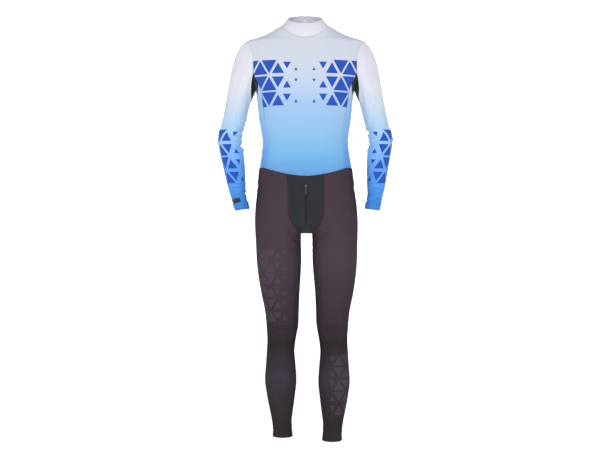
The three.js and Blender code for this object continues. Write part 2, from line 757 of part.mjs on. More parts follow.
function collar() {
  const shares = steps(0, 1, PANEL_COLUMNS);
  const front = shares.map((share) => (share * Math.PI) / 2);
  const neckBack = torso(neckline(180).height);
  const zipEdge = (CHAIN_HALF + SEAM_GAP) / (neckBack.back - neckBack.mid);
  const back = shares
    .map((share) => Math.PI - zipEdge - share * (Math.PI / 2 - zipEdge))
    .reverse();
  const half = [...front, ...back.slice(1)];
  const grid = COLLAR_RISES.map((rise) => {
    const left = half.map((angle) => collarSkin(angle, rise));
    return [...left.slice(1).reverse().map(mirrored), ...left];
  });
  return wall("collar", grid, { thickness: COLLAR_CLOTH, material: FINISH.top });
}

// The tights

// How far the crotch curve has opened at a height: 0 at the crotch and 1 at the top of the curve.
function crotchOpening(height) {
  const share = Math.min(Math.max((height - CROTCH) / CROTCH_CURVE.height, 0), 1);
  return (1 - (1 - share) ** CROTCH_CURVE.power) ** (1 / CROTCH_CURVE.power);
}

// The oval of one leg at a height. Above the crotch its inner side would pass the other leg's, and
// the cloth follows it only as far as the fly panel or the centre-back seam.
function legOval(height) {
  const s = leg(height);
  if (height <= CROTCH) {
    const centre = (s.inner + s.outer) / 2;
    return { ...s, centre, innerReach: centre - s.inner, outerReach: s.outer - centre };
  }
  const low = leg(CROTCH);
  const innerReach = (low.outer - low.inner) / 2 + INNER_SPREAD * (height - CROTCH);
  const opening = crotchOpening(height);
  const share = Math.max(1 - opening ** s.power, 0) ** (1 / s.power);
  const curveTop = CROTCH + CROTCH_CURVE.height;
  const spare = height > curveTop ? (WAIST_SIDE - height) / (WAIST_SIDE - curveTop) : 1;
  const centre = GUSSET_HALF * Math.max(spare, 0) + innerReach * share;
  return { ...s, centre, innerReach, outerReach: s.outer - centre };
}

function legPoint(turn, height) {
  const s = legOval(height);
  const side = oval(Math.cos(turn), s.power);
  const behind = oval(Math.sin(turn), s.power);
  return new THREE.Vector3(
    s.centre + (side > 0 ? s.outerReach : s.innerReach) * side,
    s.mid + (behind > 0 ? s.back - s.mid : s.front + s.mid) * behind,
    height,
  );
}
const plainLegSkin = skinOf(legPoint, 0.01, 1);

function foldedLeg(turn, height) {
  const sample = plainLegSkin(turn, height);
  const radius = (leg(height).outer - leg(height).inner) / 2;
  const rise = legFolds((turn * 180) / Math.PI, height, radius);
  return sample.point.addScaledVector(sample.normal, height < CROTCH ? rise : 0);
}
const legSkin = skinOf(foldedLeg, 0.02, 1.5);

// The turn at which a leg's oval crosses a distance from the body's centre plane.
function turnAt(x, height) {
  const s = legOval(height);
  const reach = x >= s.centre ? s.outerReach : s.innerReach;
  const share = Math.min(Math.abs(x - s.centre) / reach, 1) ** (s.power / 2);
  return Math.acos(x >= s.centre ? share : -share);
}

const backEdge = (height) =>
  (height <= curveRows[TAIL_STEP] ? tailEdge(height).half : 0) + SEAM_GAP / 2;
const frontEdge = (height) => flyEdge(height).half + SEAM_GAP / 2;
const legGap = (height) => SEAM_GAP / (leg(height).outer - leg(height).inner);

// Rows above the crotch: even steps round the crotch curve, then level ones up to the waist.
const CURVE_STEPS = 8;
const curveRows = steps(0, 1, CURVE_STEPS).map(
  (t) => CROTCH + CROTCH_CURVE.height * (1 - Math.cos((t * Math.PI) / 2) ** (2 / CROTCH_CURVE.power)),
);
const hipRows = [...curveRows, FLY_ZIP.top, WAIST_SIDE];
// The back panels close over the tail's blunt end in one more row.
const seatRows = [...hipRows];
seatRows.splice(TAIL_STEP + 1, 0, curveRows[TAIL_STEP] + SEAM_GAP);
const thighRows = [THIGH_SEAM + SEAM_GAP / 2, 655, 695, 732, 760, 783];
const shinRows = [
  HEM_HEIGHT,
  HEM_HEIGHT + HEM_DEPTH / 2,
  HEM_HEIGHT + HEM_DEPTH,
  ...[148, 172, 205, 245, 285, 325, 365, 405, 440, 464],
  ...[476, 487, 502, 530, 572],
  THIGH_SEAM - SEAM_GAP / 2,
];

// Lowers the top row to the dipped waist seam, and the rows under it less and less.
function dipped(height, x, front) {
  const curveTop = CROTCH + CROTCH_CURVE.height;
  const share = Math.max((height - curveTop) / (WAIST_SIDE - curveTop), 0);
  const fall = front ? waistFall(x) : 0;
  return height - share * fall - (height === WAIST_SIDE ? SEAM_GAP / 2 : 0);
}

function legSample(height, share, front) {
  const inside = height <= CROTCH;
  const gap = legGap(height);
  const limit = inside
    ? Math.PI - gap
    : turnAt(front ? frontEdge(height) : backEdge(height), height);
  const turn = (front ? -1 : 1) * (gap + (limit - gap) * share);
  const level = dipped(height, legPoint(turn, height).x, front);
  return legSkin(turn, level);
}

// Lets a leg hang lower, more and more from the knee down.
function dropped(sample, drop) {
  const share = Math.min(Math.max((DROP_STARTS - sample.point.z) / (DROP_STARTS - HEM_HEIGHT), 0), 1);
  sample.point.z -= drop * share;
  return sample;
}

// Draws one forearm in towards the body, by its height below the elbow.
function drawnIn(sample) {
  const share = Math.max((CUFF_IN_STARTS - sample.point.z) / (CUFF_IN_STARTS - CUFF_END), 0);
  sample.point.x -= RIGHT_CUFF_IN * share * Math.min(share, 1);
  return sample;
}
const ofRightArm = (sample) => mirrored(drawnIn(sample));

function legPanel(name, rows, front, place, drop) {
  const grid = rows.map((height) =>
    steps(0, 1, 8).map((share) => place(dropped(legSample(height, share, front), drop))),
  );
  const thickness = (row) => TIGHTS_CLOTH + (rows[row] < HEM_HEIGHT + HEM_DEPTH ? HEM_EXTRA : 0);
  return wall(name, grid, { thickness, material: FINISH.tights });
}

// The black panel: across the body at each row, down the front, under the crotch and up behind.
function stripSample(row, share) {
  const { height, front } = stripRows[row];
  const edge = legSample(height, 1, front);
  const half = edge.point.x - SEAM_GAP;
  const x = stripColumn(share, half);
  const crown = FLY_CROWN * (half * half - x * x) * (front ? -1 : 1);
  const level = height > CROTCH + CROTCH_CURVE.height ? dipped(height, x, front) : edge.point.z;
  const normal = edge.normal.clone();
  normal.x *= x / half;
  return { point: new THREE.Vector3(x, edge.point.y + crown, level), normal: normal.normalize() };
}

// Rows of the strip, from the waist in front to the tail's top behind.
const stripRows = [
  ...[...hipRows].reverse().map((height) => ({ height, front: true })),
  ...curveRows.slice(1, TAIL_STEP).map((height) => ({ height, front: false })),
  { height: curveRows[TAIL_STEP] - 2 * SEAM_GAP, front: false },
];

// Columns of the strip: the zip's slot keeps its width while the panel round it narrows.
const SLOT_HALF = CHAIN_HALF + SEAM_GAP;
const STRIP_SHARES = [-1, -0.66, -0.33, "slot-", "slot+", 0.33, 0.66, 1];
const SLOT_COLUMN = STRIP_SHARES.indexOf("slot-");

function stripColumn(share, half) {
  if (typeof share === "number") return share * half;
  const side = share.endsWith("-") ? -1 : 1;
  const inSlot = share.startsWith("slot") ? SLOT_HALF : CHAIN_HALF;
  return side * Math.min(inSlot, half / 6);
}

const ZIP_TOP_ROW = stripRows.findIndex(({ height }) => height === FLY_ZIP.top);
const ZIP_LAST_ROW = stripRows.findIndex(({ height }) => height < FLY_ZIP.bottom);

function flyPanel() {
  const grid = stripRows.map((_, row) => STRIP_SHARES.map((share) => stripSample(row, share)));
  const inSlot = (i, j) => i >= ZIP_TOP_ROW && i < ZIP_LAST_ROW && j === SLOT_COLUMN;
  const keep = (i, j) => !inSlot(i, j);
  return wall("fly_panel", grid, { thickness: TIGHTS_CLOTH, material: FINISH.fly, keep });
}

function flyChain() {
  const grid = [];
  for (let row = ZIP_TOP_ROW; row <= ZIP_LAST_ROW; row += 1) {
    grid.push(["chain-", "chain+"].map((share) => lifted(stripSample(row, share), CHAIN_PROUD)));
  }
  for (const end of [0, grid.length - 1]) {
    const inward = end === 0 ? 1 : end - 1;
    grid[end].forEach(({ point }, j) => {
      const towards = grid[inward][j].point.clone().sub(point).normalize();
      point.addScaledVector(towards, SEAM_GAP);
    });
  }
  return wall("fly_zip_chain", grid, {
    thickness: TIGHTS_CLOTH + CHAIN_PROUD,
    material: FINISH.coil,
  });
}

// The centre-back zip's chain, from the waist seam to the collar's top edge.
function backChain() {
  const heights = ROW_LIST.map((row) => rowHeight(row, Math.PI, Math.PI));
  const sides = [-1, 1];
  const onBack = heights.slice(0, -1).map((height) =>
    sides.map((side) => torsoSkin(Math.PI - side * halfGap(Math.PI, height, CHAIN_HALF), height)),
  );
  const onCollar = COLLAR_RISES.map((rise) =>
    sides.map((side) => {
      const sample = collarSkin(Math.PI - 0.001, rise);
      sample.point.x = side * CHAIN_HALF;
      return sample;
    }),
  );
  const grid = [...onBack, ...onCollar].map((row) =>
    row.map((sample) => lifted(sample, CHAIN_PROUD)),
  );
  return wall("back_zip_chain", grid, {
    thickness: TOP_CLOTH + CHAIN_PROUD,
    material: FINISH.whiteCoil,
  });
}

// Zip hardware, made facing -Y with the tab's axis along X through the origin.

function sliderPlate() {
  const half = SLIDER.width / 2;
  const tall = SLIDER.height / 2;
  const outline = new THREE.Shape();
  outline.moveTo(-half * 0.62, -tall);
  outline.lineTo(half * 0.62, -tall);
  outline.lineTo(half, tall * 0.2);
  outline.quadraticCurveTo(half, tall, half * 0.5, tall);
  outline.lineTo(-half * 0.5, tall);
  outline.quadraticCurveTo(-half, tall, -half, tall * 0.2);
  outline.closePath();
  const plate = extruded(outline, SLIDER.depth);
  plate.rotateX(Math.PI / 2);
  return plate.translate(0, TAB_STANDOFF + SLIDER.depth, 0);
}

// The bail is a flat arch over the tab's bar, in the plane across the tab's axis.
function bail() {
  const reach = SLIDER.bailReach;
  const thick = SLIDER.bailThick;
  const foot = -TAB_STANDOFF - 0.4;
  const rise = SLIDER.bailRise - TAB_STANDOFF;
  const under = rise - thick * 0.8;
  const arch = new THREE.Shape();
  arch.moveTo(-reach, foot);
  arch.lineTo(-reach, rise * 0.4);
  arch.quadraticCurveTo(-reach, rise, -reach * 0.4, rise);
  arch.lineTo(reach * 0.4, rise);
  arch.quadraticCurveTo(reach, rise, reach, rise * 0.4);
  arch.lineTo(reach, foot);
  arch.lineTo(reach - thick, foot);
  arch.lineTo(reach - thick, under * 0.6);
  arch.lineTo(reach * 0.35, under);
  arch.lineTo(-reach * 0.35, under);
  arch.lineTo(-reach + thick, under * 0.6);
  arch.lineTo(-reach + thick, foot);
  arch.closePath();
  const solid = extruded(arch, thick);
  solid.translate(0, 0, -thick / 2);
  // The arch's own x runs up the zip and its own y out from the cloth.
  const turned = new THREE.Matrix4().makeBasis(
    new THREE.Vector3(0, 0, 1),
    new THREE.Vector3(0, -1, 0),
    new THREE.Vector3(1, 0, 0),
  );
  return solid.applyMatrix4(turned);
}

// A flat tab with a rounded foot, whose eye takes the bail; its top bar lies on the axis.
function tab() {
  const half = PULL.width / 2;
  const top = PULL.bar / 2;
  const foot = top - PULL.length;
  const outline = new THREE.Shape();
  outline.moveTo(-half, top);
  outline.lineTo(-half, foot + half);
  outline.absarc(0, foot + half, half, Math.PI, 2 * Math.PI, false);
  outline.lineTo(half, top);
  outline.closePath();
  const eye = new THREE.Path();
  eye.moveTo(-PULL.eyeHalf, -top);
  eye.lineTo(PULL.eyeHalf, -top);
  eye.lineTo(PULL.eyeHalf, -top - PULL.eyeLength);
  eye.lineTo(-PULL.eyeHalf, -top - PULL.eyeLength);
  eye.closePath();
  outline.holes.push(eye);
  const solid = extruded(outline, PULL.thick);
  solid.translate(0, 0, -PULL.thick / 2);
  return solid.rotateX(Math.PI / 2);
}

function extruded(outline, depth) {
  return new THREE.ExtrudeGeometry(outline, { depth, bevelEnabled: false, curveSegments: 5 });
}

const wasm = await Module();
wasm.setup();

function asManifold(geometry) {
  const bare = geometry.index ? geometry.toNonIndexed() : geometry.clone();
  for (const name of Object.keys(bare.attributes)) {
    if (name !== "position") bare.deleteAttribute(name);
  }
  const merged = mergeVertices(bare, 1e-4);
  const triVerts = Uint32Array.from(merged.index.array);
  const vertProperties = Float32Array.from(merged.attributes.position.array);
  return new wasm.Manifold(new wasm.Mesh({ numProp: 3, vertProperties, triVerts }));
}

function joined(parts) {
  const whole = parts.map(asManifold).reduce((sum, next) => sum.add(next));
  const { vertProperties, triVerts, numProp } = whole.getMesh();
  const geometry = new THREE.BufferGeometry();
  const positions = Array.from(vertProperties).filter((_, k) => k % numProp < 3);
  geometry.setAttribute("position", new THREE.Float32BufferAttribute(positions, 3));
  geometry.setIndex(Array.from(triVerts));
  geometry.computeVertexNormals();
  return geometry;
}

// Sets a slider and its tab on a chain: place is a skin sample of the chain's surface.
function zipHardware(prefix, { point, normal }, material) {
  const hardware = new THREE.Group();
  const pull = named(`${prefix}_pull_tab`, joined([tab()]), material);
  hardware.add(named(`${prefix}_slider`, joined([sliderPlate(), bail()]), material), pull);
  const standoff = TAB_STANDOFF + SLIDER.depth + SEAM_GAP;
  hardware.position.copy(point).addScaledVector(normal, standoff);
  hardware.position.x += lean(point.z);
  const behind = normal.y > 0;
  hardware.rotation.order = "ZXY";
  hardware.rotation.z = behind ? Math.PI : 0;
  hardware.rotation.x = -Math.atan2(normal.z, Math.abs(normal.y));
  // The tab hangs plumb, or as near it as the cloth below lets its foot swing in.
  const swing = Math.atan((standoff - PULL.thick / 2 - 2 * SEAM_GAP) / PULL.length);
  pull.rotation.x = Math.min(-hardware.rotation.x, swing);
  return hardware;
}

function hardwareOnFly() {
  const above = stripSample(ZIP_TOP_ROW, "chain+");
  const below = stripSample(ZIP_TOP_ROW + 1, "chain+");
  const share = (above.point.z - FLY_SLIDER_HEIGHT) / (above.point.z - below.point.z);
  const point = above.point.clone().lerp(below.point, share).setX(0);
  const normal = above.normal.clone().setX(0).normalize();
  return zipHardware("fly_zip", lifted({ point, normal }, CHAIN_PROUD), FINISH.metal);
}

function hardwareOnBack() {
  const rise = 1 - BACK_SLIDER_BELOW_TOP / (COLLAR_TOP.back - neckline(180).height);
  const place = collarSlant(Math.PI - 0.001, rise);
  place.point.setX(0);
  place.normal.setX(0).normalize();
  return zipHardware("back_zip", lifted(place, CHAIN_PROUD), FINISH.metal);
}

const kept = (sample) => sample;
const suit = new THREE.Group();
suit.add(
  collar(),
  frontPanel(),
  backPanel("back_body_left", kept),
  backPanel("back_body_right", mirrored),
  backChain(),
  flyPanel(),
  flyChain(),
  cuffPatch(),
  hardwareOnFly(),
  hardwareOnBack(),
);
for (const [side, place, placeArm, drop] of [
  ["left", kept, kept, LEFT_LEG_DROP],
  ["right", mirrored, ofRightArm, 0],
]) {
  const thighs = [...thighRows, ...hipRows];
  const seats = [...thighRows, ...seatRows];
  suit.add(
    sidePanel(`side_panel_${side}`, place),
    gusset(`underarm_gusset_${side}`, place),
    sleeve(`sleeve_${side}`, placeArm),
    cuff(`cuff_${side}`, placeArm),
    legPanel(`thigh_front_${side}`, thighs, true, place, drop),
    legPanel(`thigh_back_${side}`, seats, false, place, drop),
    legPanel(`lower_leg_front_${side}`, shinRows, true, place, drop),
    legPanel(`lower_leg_back_${side}`, shinRows, false, place, drop),
  );
}
suit.position.z = -SHOULDER_HEIGHT;

export default suit;
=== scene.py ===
"""The looks of a one-piece ski race suit, hollow and filled out as it is worn, with no wearer in it.

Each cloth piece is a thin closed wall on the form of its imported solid. Its surface is a function of
two parameters, worked out with numpy in millimetres: x is across (the wearer's left is positive),
y is depth (the front is negative) and z is the height above the floor that the wearer stands on.
to_frame turns that into the frame's metres.
"""
import logging
from dataclasses import dataclass
from enum import Enum
from typing import Callable, NamedTuple, Optional, Sequence, Union

import bpy
import numpy as np
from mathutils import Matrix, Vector


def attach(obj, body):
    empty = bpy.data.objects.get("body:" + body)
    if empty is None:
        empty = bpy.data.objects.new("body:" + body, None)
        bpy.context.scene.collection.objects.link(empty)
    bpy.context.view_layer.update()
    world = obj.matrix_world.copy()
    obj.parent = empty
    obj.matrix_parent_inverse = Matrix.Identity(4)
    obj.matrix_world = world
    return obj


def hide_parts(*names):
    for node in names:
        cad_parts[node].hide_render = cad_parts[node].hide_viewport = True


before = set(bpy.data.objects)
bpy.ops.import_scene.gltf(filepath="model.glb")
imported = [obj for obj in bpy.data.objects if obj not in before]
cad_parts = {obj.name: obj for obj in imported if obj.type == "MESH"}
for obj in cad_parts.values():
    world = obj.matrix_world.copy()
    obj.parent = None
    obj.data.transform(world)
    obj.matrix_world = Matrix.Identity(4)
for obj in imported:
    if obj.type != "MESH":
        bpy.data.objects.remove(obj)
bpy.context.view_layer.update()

LOG = logging.getLogger("suit")
Array = np.ndarray
Value = Union[float, Array]

MM = 0.001
FULL_TURN = 360.0
# Steps to each side for a surface's normals: an angle in radians and a height in millimetres.
TURN_STEP, HEIGHT_STEP = 0.01, 1.0
SHOULDER_HEIGHT = 1460.0
SUIT = "suit"

# How much the worn suit stretches its cut: around the body and along it.
STRETCH_ROUND = 1.12
STRETCH_LONG = 1.03

WAIST_SIDE = 1026.0
WAIST_FALL, WAIST_DIP_HALF, WAIST_DIP_POWER = 29.0, 140.0, 1.7
NECK_SIDE = 1514.0
NECK_DIP_STARTS = 1150.0
ARMHOLE_CENTRE, ARMHOLE_HALF_HEIGHT, ARMHOLE_HALF_DEPTH = 1375.5, 85.5, 60.0
# Powers: how late the calm edge turns in to the shoulder's tip, and how late columns leave it.
CALM_POWER, EDGE_POWER = 6, 8
GUSSET_TURN = np.radians(70)
GUSSET_LOW = 1306.0
GUSSET_BOW = 3.0
SIDE_SEAM_AT_WAIST = np.radians(53)
CAP_END = 1238.0
CUFF_SEAM = 967.0
CUFF_END = 886.0
CROTCH = 805.0
CURVE_HEIGHT, CURVE_POWER = 150.0, 2.5
CURVE_TOP = CROTCH + CURVE_HEIGHT
GUSSET_HALF = 19.0
INNER_SPREAD = 0.2
THIGH_SEAM = 621.0
HEM_HEIGHT = 115.5
LEAN_TOP, LEAN_BOTTOM, LEAN_BY = 1190.0, 600.0, 8.0
LEFT_LEG_DROP, DROP_STARTS = 14.0, 470.0
RIGHT_CUFF_IN, CUFF_IN_STARTS = 7.0, 1130.0
FLY_CROWN = 0.0012
TAIL_END, TAIL_TIP_HALF = 866.0, 0.3
CHAIN_HALF = 2.5
CHAIN_GAP = 0.3
CHAIN_PROUD = 0.7
FLY_ZIP_TOP, FLY_ZIP_BOTTOM = 974.0, 842.0

# Distances from a sewn edge at which the grid has a line, so that the seam's dip is smooth.
RIM = (0.8, 1.8, 3.0, 4.8)
SPACING = 3.3


def oval(value: Array, power: Array) -> Array:
    """One coordinate of a rounded oval: sine or cosine raised so that power 2 is an ellipse."""
    return np.sign(value) * np.abs(value) ** (2 / power)


def clamped(value: Value, low: float = 0.0, high: float = 1.0) -> Array:
    """The value held between two limits."""
    return np.clip(value, low, high)


class Profile:
    """Smooth curves through a table's columns, against its first column, flat past its ends."""

    def __init__(self, *rows: Sequence[float]) -> None:
        """Sorts the rows and works out a slope at each: the mean of its neighbours' rates.

        Args:
            rows: the place, then the values there.
        """
        table = np.array(sorted(rows), float)
        self.at, self.values = table[:, 0], table[:, 1:]
        gaps = np.diff(self.at)[:, None]
        rates = np.diff(self.values, axis=0) / gaps
        inner = (rates[:-1] * gaps[1:] + rates[1:] * gaps[:-1]) / (gaps[:-1] + gaps[1:])
        self.slopes = np.vstack([rates[:1], inner, rates[-1:]])

    def __call__(self, place: Value) -> Array:
        """Cubic curves between the rows, one for each column.

        Args:
            place: where to read the table.
        Returns:
            The columns' values, with the columns along the first axis.
        """
        x = np.clip(np.asarray(place, float), self.at[0], self.at[-1])
        i = np.clip(np.searchsorted(self.at, x, side="right") - 1, 0, len(self.at) - 2)
        span = (self.at[i + 1] - self.at[i])[..., None]
        t = (x - self.at[i])[..., None] / span
        found = (
            (1 + 2 * t) * (1 - t) ** 2 * self.values[i]
            + t * (1 - t) ** 2 * span * self.slopes[i]
            + t * t * (3 - 2 * t) * self.values[i + 1]
            + t * t * (t - 1) * span * self.slopes[i + 1]
        )
        return np.moveaxis(found, -1, 0)


# height, half width, front, back, how far behind the axis the widest point lies, oval power
TORSO = Profile(
    (985, 159, 100, 99, 0, 2.4), (1026, 156, 98, 91, 0, 2.4), (1055, 152, 97, 85, 0, 2.35),
    (1090, 147, 97, 81, 1, 2.3), (1125, 146, 99, 81, 2, 2.3), (1160, 151, 104, 86, 3, 2.3),
    (1200, 157, 109, 94, 4, 2.3), (1250, 162, 114, 106, 5, 2.3), (1290, 168, 114, 115, 7, 2.25),
    (1320, 182, 111, 118, 9, 2.25), (1350, 194, 105, 118, 10, 2.2), (1380, 202, 97, 116, 11, 2.2),
    (1415, 206, 85, 110, 12, 2.15), (1442, 205, 74, 103, 12, 2.1), (1461, 197, 66, 95, 12, 2.05),
    (1470, 167, 62, 91, 12, 2), (1478, 145, 60, 88, 11, 2), (1490, 119, 58, 84, 11, 2),
    (1501, 100, 57, 80, 10, 2), (1514, 77, 56, 74, 9, 2),
)
# degrees round the body from centre front, height. The first row makes the line level in front.
NECKLINE = Profile(
    (-15, 1474), (0, 1465), (15, 1474), (30, 1488), (45, 1499), (65, 1509),
    (90, 1514), (135, 1513), (180, 1511),
)
# height, centre x, centre y, half width, half depth
ARM = Profile(
    (1260, 226, 12, 41, 50), (1238, 231, 12, 40.5, 48), (1191, 241, 13, 39.5, 45),
    (1157, 250, 14, 40, 43), (1140, 255, 14, 41.5, 42.5), (1106, 256, 12, 40.5, 41.5),
    (1089, 252.5, 9, 40, 41), (1055, 247.5, 2, 38.5, 39.5), (1021, 243, -6, 36, 37),
    (987, 239.5, -14, 32.5, 34), (967, 237.5, -19, 30.5, 32), (945, 234.5, -24, 28, 30),
    (920, 230, -30, 26, 29), (902, 225.5, -34, 27, 30), (886, 222, -38, 25, 29.5),
)
# height, inner side (counts only below the crotch), outer side, front, back, mid, oval power
LEG = Profile(
    (90, 49, 117, 37, 51, 8, 2), (111, 50, 117.5, 36, 50, 8, 2), (137, 52, 117.5, 34, 49, 8, 2),
    (171, 53, 121, 35, 52, 9, 2), (205, 49, 127.5, 37, 58, 10, 2), (250, 43, 136, 40, 67, 12, 2.05),
    (307, 37, 144.5, 44, 74, 13, 2.05), (360, 41, 141, 48, 69, 10, 2.1),
    (409, 44, 138, 54, 61, 5, 2.1), (450, 39, 136, 60, 56, 0, 2.15),
    (494, 31, 139, 65, 56, -2, 2.15), (545, 29, 144.5, 71, 62, -3, 2.1),
    (600, 27, 155, 79, 72, -4, 2.1), (660, 22, 165, 85, 82, -3, 2.15),
    (720, 19, 170.5, 89, 93, 0, 2.2), (770, 19, 172.5, 92, 106, 4, 2.25),
    (805, 19, 174, 95, 117, 7, 2.3), (850, 19, 175, 99, 126, 8, 2.35),
    (902, 19, 172, 102, 123, 6, 2.4), (950, 19, 165.5, 103, 112, 3, 2.4),
    (987, 19, 162.5, 102, 101, 1, 2.4), (1026, 19, 158, 100, 93, 0, 2.4),
)
# height, half width of the black panel in front, and of its tail behind
FLY_EDGE = Profile(
    (805, 19), (808, 21), (814, 27), (826, 38), (842, 50), (862, 57), (900, 59), (1026, 60),
)
TAIL_EDGE = Profile((805, 19), (814, 17.5), (826, 14), (842, 9), (862, 4), (TAIL_END, TAIL_TIP_HALF))


class Fold(NamedTuple):
    """A soft ridge (positive depth) or trough, its place and its sizes in millimetres."""

    across: float
    height: float
    half_length: float
    half_width: float
    depth: float
    slope: float
    bend: float = 0.0


class Folds:
    """All the folds of one part of the cloth, added up."""

    def __init__(self, *rows: Sequence[float], creased: bool = False) -> None:
        """Keeps the rows, each a Fold's values in their order.

        Args:
            rows: the folds.
            creased: true where each fold has a small bank of the other sign on both sides.
        """
        self.rows = [Fold(*row) for row in rows]
        self.creased = creased

    def rise(self, across: Array, height: Array, per_unit: Value, full_turn: float = 0.0) -> Array:
        """How far the folds lift the cloth, the sum of bells that fade along and across each fold.

        Args:
            across: the place round the piece, in the table's unit.
            height: the height of the place.
            per_unit: millimetres in one unit of across.
            full_turn: units in a full turn, on a tube.
        Returns:
            The lift along the normal in millimetres.
        """
        total = np.zeros(np.broadcast(across, height).shape)
        for fold in self.rows:
            off = across - fold.across
            if full_turn:
                off = (off + full_turn / 2) % full_turn - full_turn / 2
            slope = np.radians(fold.slope)
            rounded, up = off * per_unit, height - fold.height
            along = (rounded * np.cos(slope) + up * np.sin(slope)) / fold.half_length
            over = -rounded * np.sin(slope) + up * np.cos(slope) - fold.bend * along**2
            over = over / fold.half_width
            bell = np.exp(-(over**2))
            if self.creased:
                bell = 1.5 * bell - 0.5 * np.exp(-((over / 2) ** 2))
            total += fold.depth * np.exp(-(along**2)) * bell
        return total


# The sleeves' large folds: degrees from under the arm (90 is in front), height, half length,
# half width, depth, slope in degrees.
SLEEVE_FOLDS = Folds(
    (20, 1151, 30, 7, -3.4, 12), (30, 1140, 26, 7, 1.8, 14), (12, 1100, 34, 7, -3.6, -8),
    (16, 1088, 30, 8, 2.4, -10), (-35, 1128, 30, 8, -2.2, 8), (60, 1318, 52, 7, -2.2, 82),
    (95, 1300, 70, 7, 1.6, 86), (118, 1290, 80, 8, -1.6, 90), (150, 1270, 70, 8, 1.2, 94),
    (-70, 1310, 60, 8, -1.8, 96), (-110, 1290, 75, 8, 1.5, 90), (40, 960, 30, 4.5, -1.8, 6),
    (100, 952, 34, 5, 1.4, -5), (15, 941, 26, 5, -2.2, 8), (70, 930, 34, 5, 1.5, 4),
    (-20, 920, 28, 5, -2.4, -6), (55, 908, 30, 6, -1.6, 6), (-80, 936, 34, 5, -1.5, 5),
)
# The legs' large folds: degrees from the outer side (-90 is in front), then the same columns.
LEG_FOLDS = Folds(
    (-92, 489, 34, 6, 2.2, -3), (-90, 477, 38, 7, -2.2, 2), (95, 500, 34, 8, -2.6, 4),
    (88, 478, 30, 8, -2, -5), (-150, 776, 28, 6, -2.6, 24), (-142, 762, 30, 6, 1.6, 28),
    (140, 790, 30, 7, -2.2, -24), (-60, 131, 30, 5, -1.4, 6), (-130, 136, 24, 5, -1.6, -8),
    (60, 140, 30, 5, -1.4, 5),
)
# Finer creases, with how far each bends at its ends. Sleeves, in the order left, right.
SLEEVE_CREASES = (
    Folds(
        (8, 1154, 34, 4.6, -3.8, 18, 6), (24, 1128, 26, 4.3, -2.5, 4, -3),
        (18, 1108, 34, 4.6, -4.2, -14, -5), (30, 1090, 24, 4.1, 2.4, -12),
        (60, 1118, 22, 4.6, -2.4, 22), (172, 1128, 22, 6.8, 2.5, 4),
        (75, 1212, 44, 6.8, -1.7, 78, 5), (110, 1236, 60, 7.4, -1.6, 84, -6),
        (140, 1330, 50, 8.1, -1.4, 96, 4), (36, 1250, 50, 6.8, -2.2, 74, 5),
        (50, 1060, 30, 5.4, -1.4, -32, 3), (20, 1042, 26, 5.4, -1.1, 22),
        (80, 1012, 30, 5.4, -0.9, -24), (10, 998, 24, 4.6, -1.1, 14),
        (86, 958, 26, 3.5, -2.4, -6, 2), (30, 950, 24, 3.5, -2.5, 8),
        (120, 944, 24, 3.5, -1.7, 8, -2), (52, 936, 22, 3.2, -2.4, -8),
        (5, 930, 22, 3.5, -2.5, 4, 2), (95, 922, 26, 3.5, -2.1, 8),
        (40, 915, 24, 3.5, -2.4, -5), (-45, 912, 26, 3.8, -2.4, 6),
        (-15, 1150, 28, 4.9, -3, -12), (-55, 1105, 28, 5.4, -2.5, 12),
        (-95, 1290, 60, 8.1, -2, 86, 4), (-50, 1235, 50, 6.8, -1.7, 98),
        (-110, 945, 26, 4.1, -2.1, -6), (-60, 952, 26, 4.1, -2.4, 6), (-130, 925, 24, 4.1, -1.7, 5),
        creased=True,
    ),
    Folds(
        (10, 1150, 30, 4.6, -3.3, 14, 5), (28, 1132, 28, 4.1, -3, 8),
        (14, 1103, 36, 4.6, -4.3, -10, -6), (26, 1084, 26, 4.1, 2.5, -16),
        (66, 1124, 20, 4.3, -2.1, 28), (178, 1122, 24, 6.8, 2.4, -3),
        (82, 1222, 50, 6.8, -1.7, 82, 4), (105, 1256, 56, 7.4, -1.7, 88, -5),
        (150, 1322, 52, 8.1, -1.4, 92, 3), (30, 1240, 46, 6.8, -2.2, 78, 4),
        (44, 1052, 28, 5.4, -1.6, -26, 3), (24, 1032, 26, 5.4, -1.1, 18),
        (90, 1024, 28, 5.4, -0.9, -20), (14, 990, 24, 4.6, -1.4, 10),
        (78, 962, 26, 3.5, -2.5, 4, 2), (24, 946, 26, 3.5, -2.5, 10),
        (112, 950, 24, 3.5, -1.7, -8, 2), (60, 932, 24, 3.2, -2.1, 6),
        (10, 924, 24, 3.5, -2.4, -4), (88, 914, 26, 3.5, -2.1, -6),
        (36, 905, 24, 3.5, -1.7, 5), (-50, 918, 26, 3.8, -2.5, -5),
        (-20, 1145, 28, 4.9, -2.5, -8), (-60, 1098, 30, 5.4, -2.4, 8),
        (-88, 1280, 60, 8.1, -1.7, 92, -4), (-48, 1225, 46, 6.8, -2, 94),
        (-105, 938, 26, 4.1, -2.4, 6), (-70, 956, 26, 4.1, -2.1, -4), (-135, 930, 24, 4.1, -1.7, 0),
        creased=True,
    ),
)
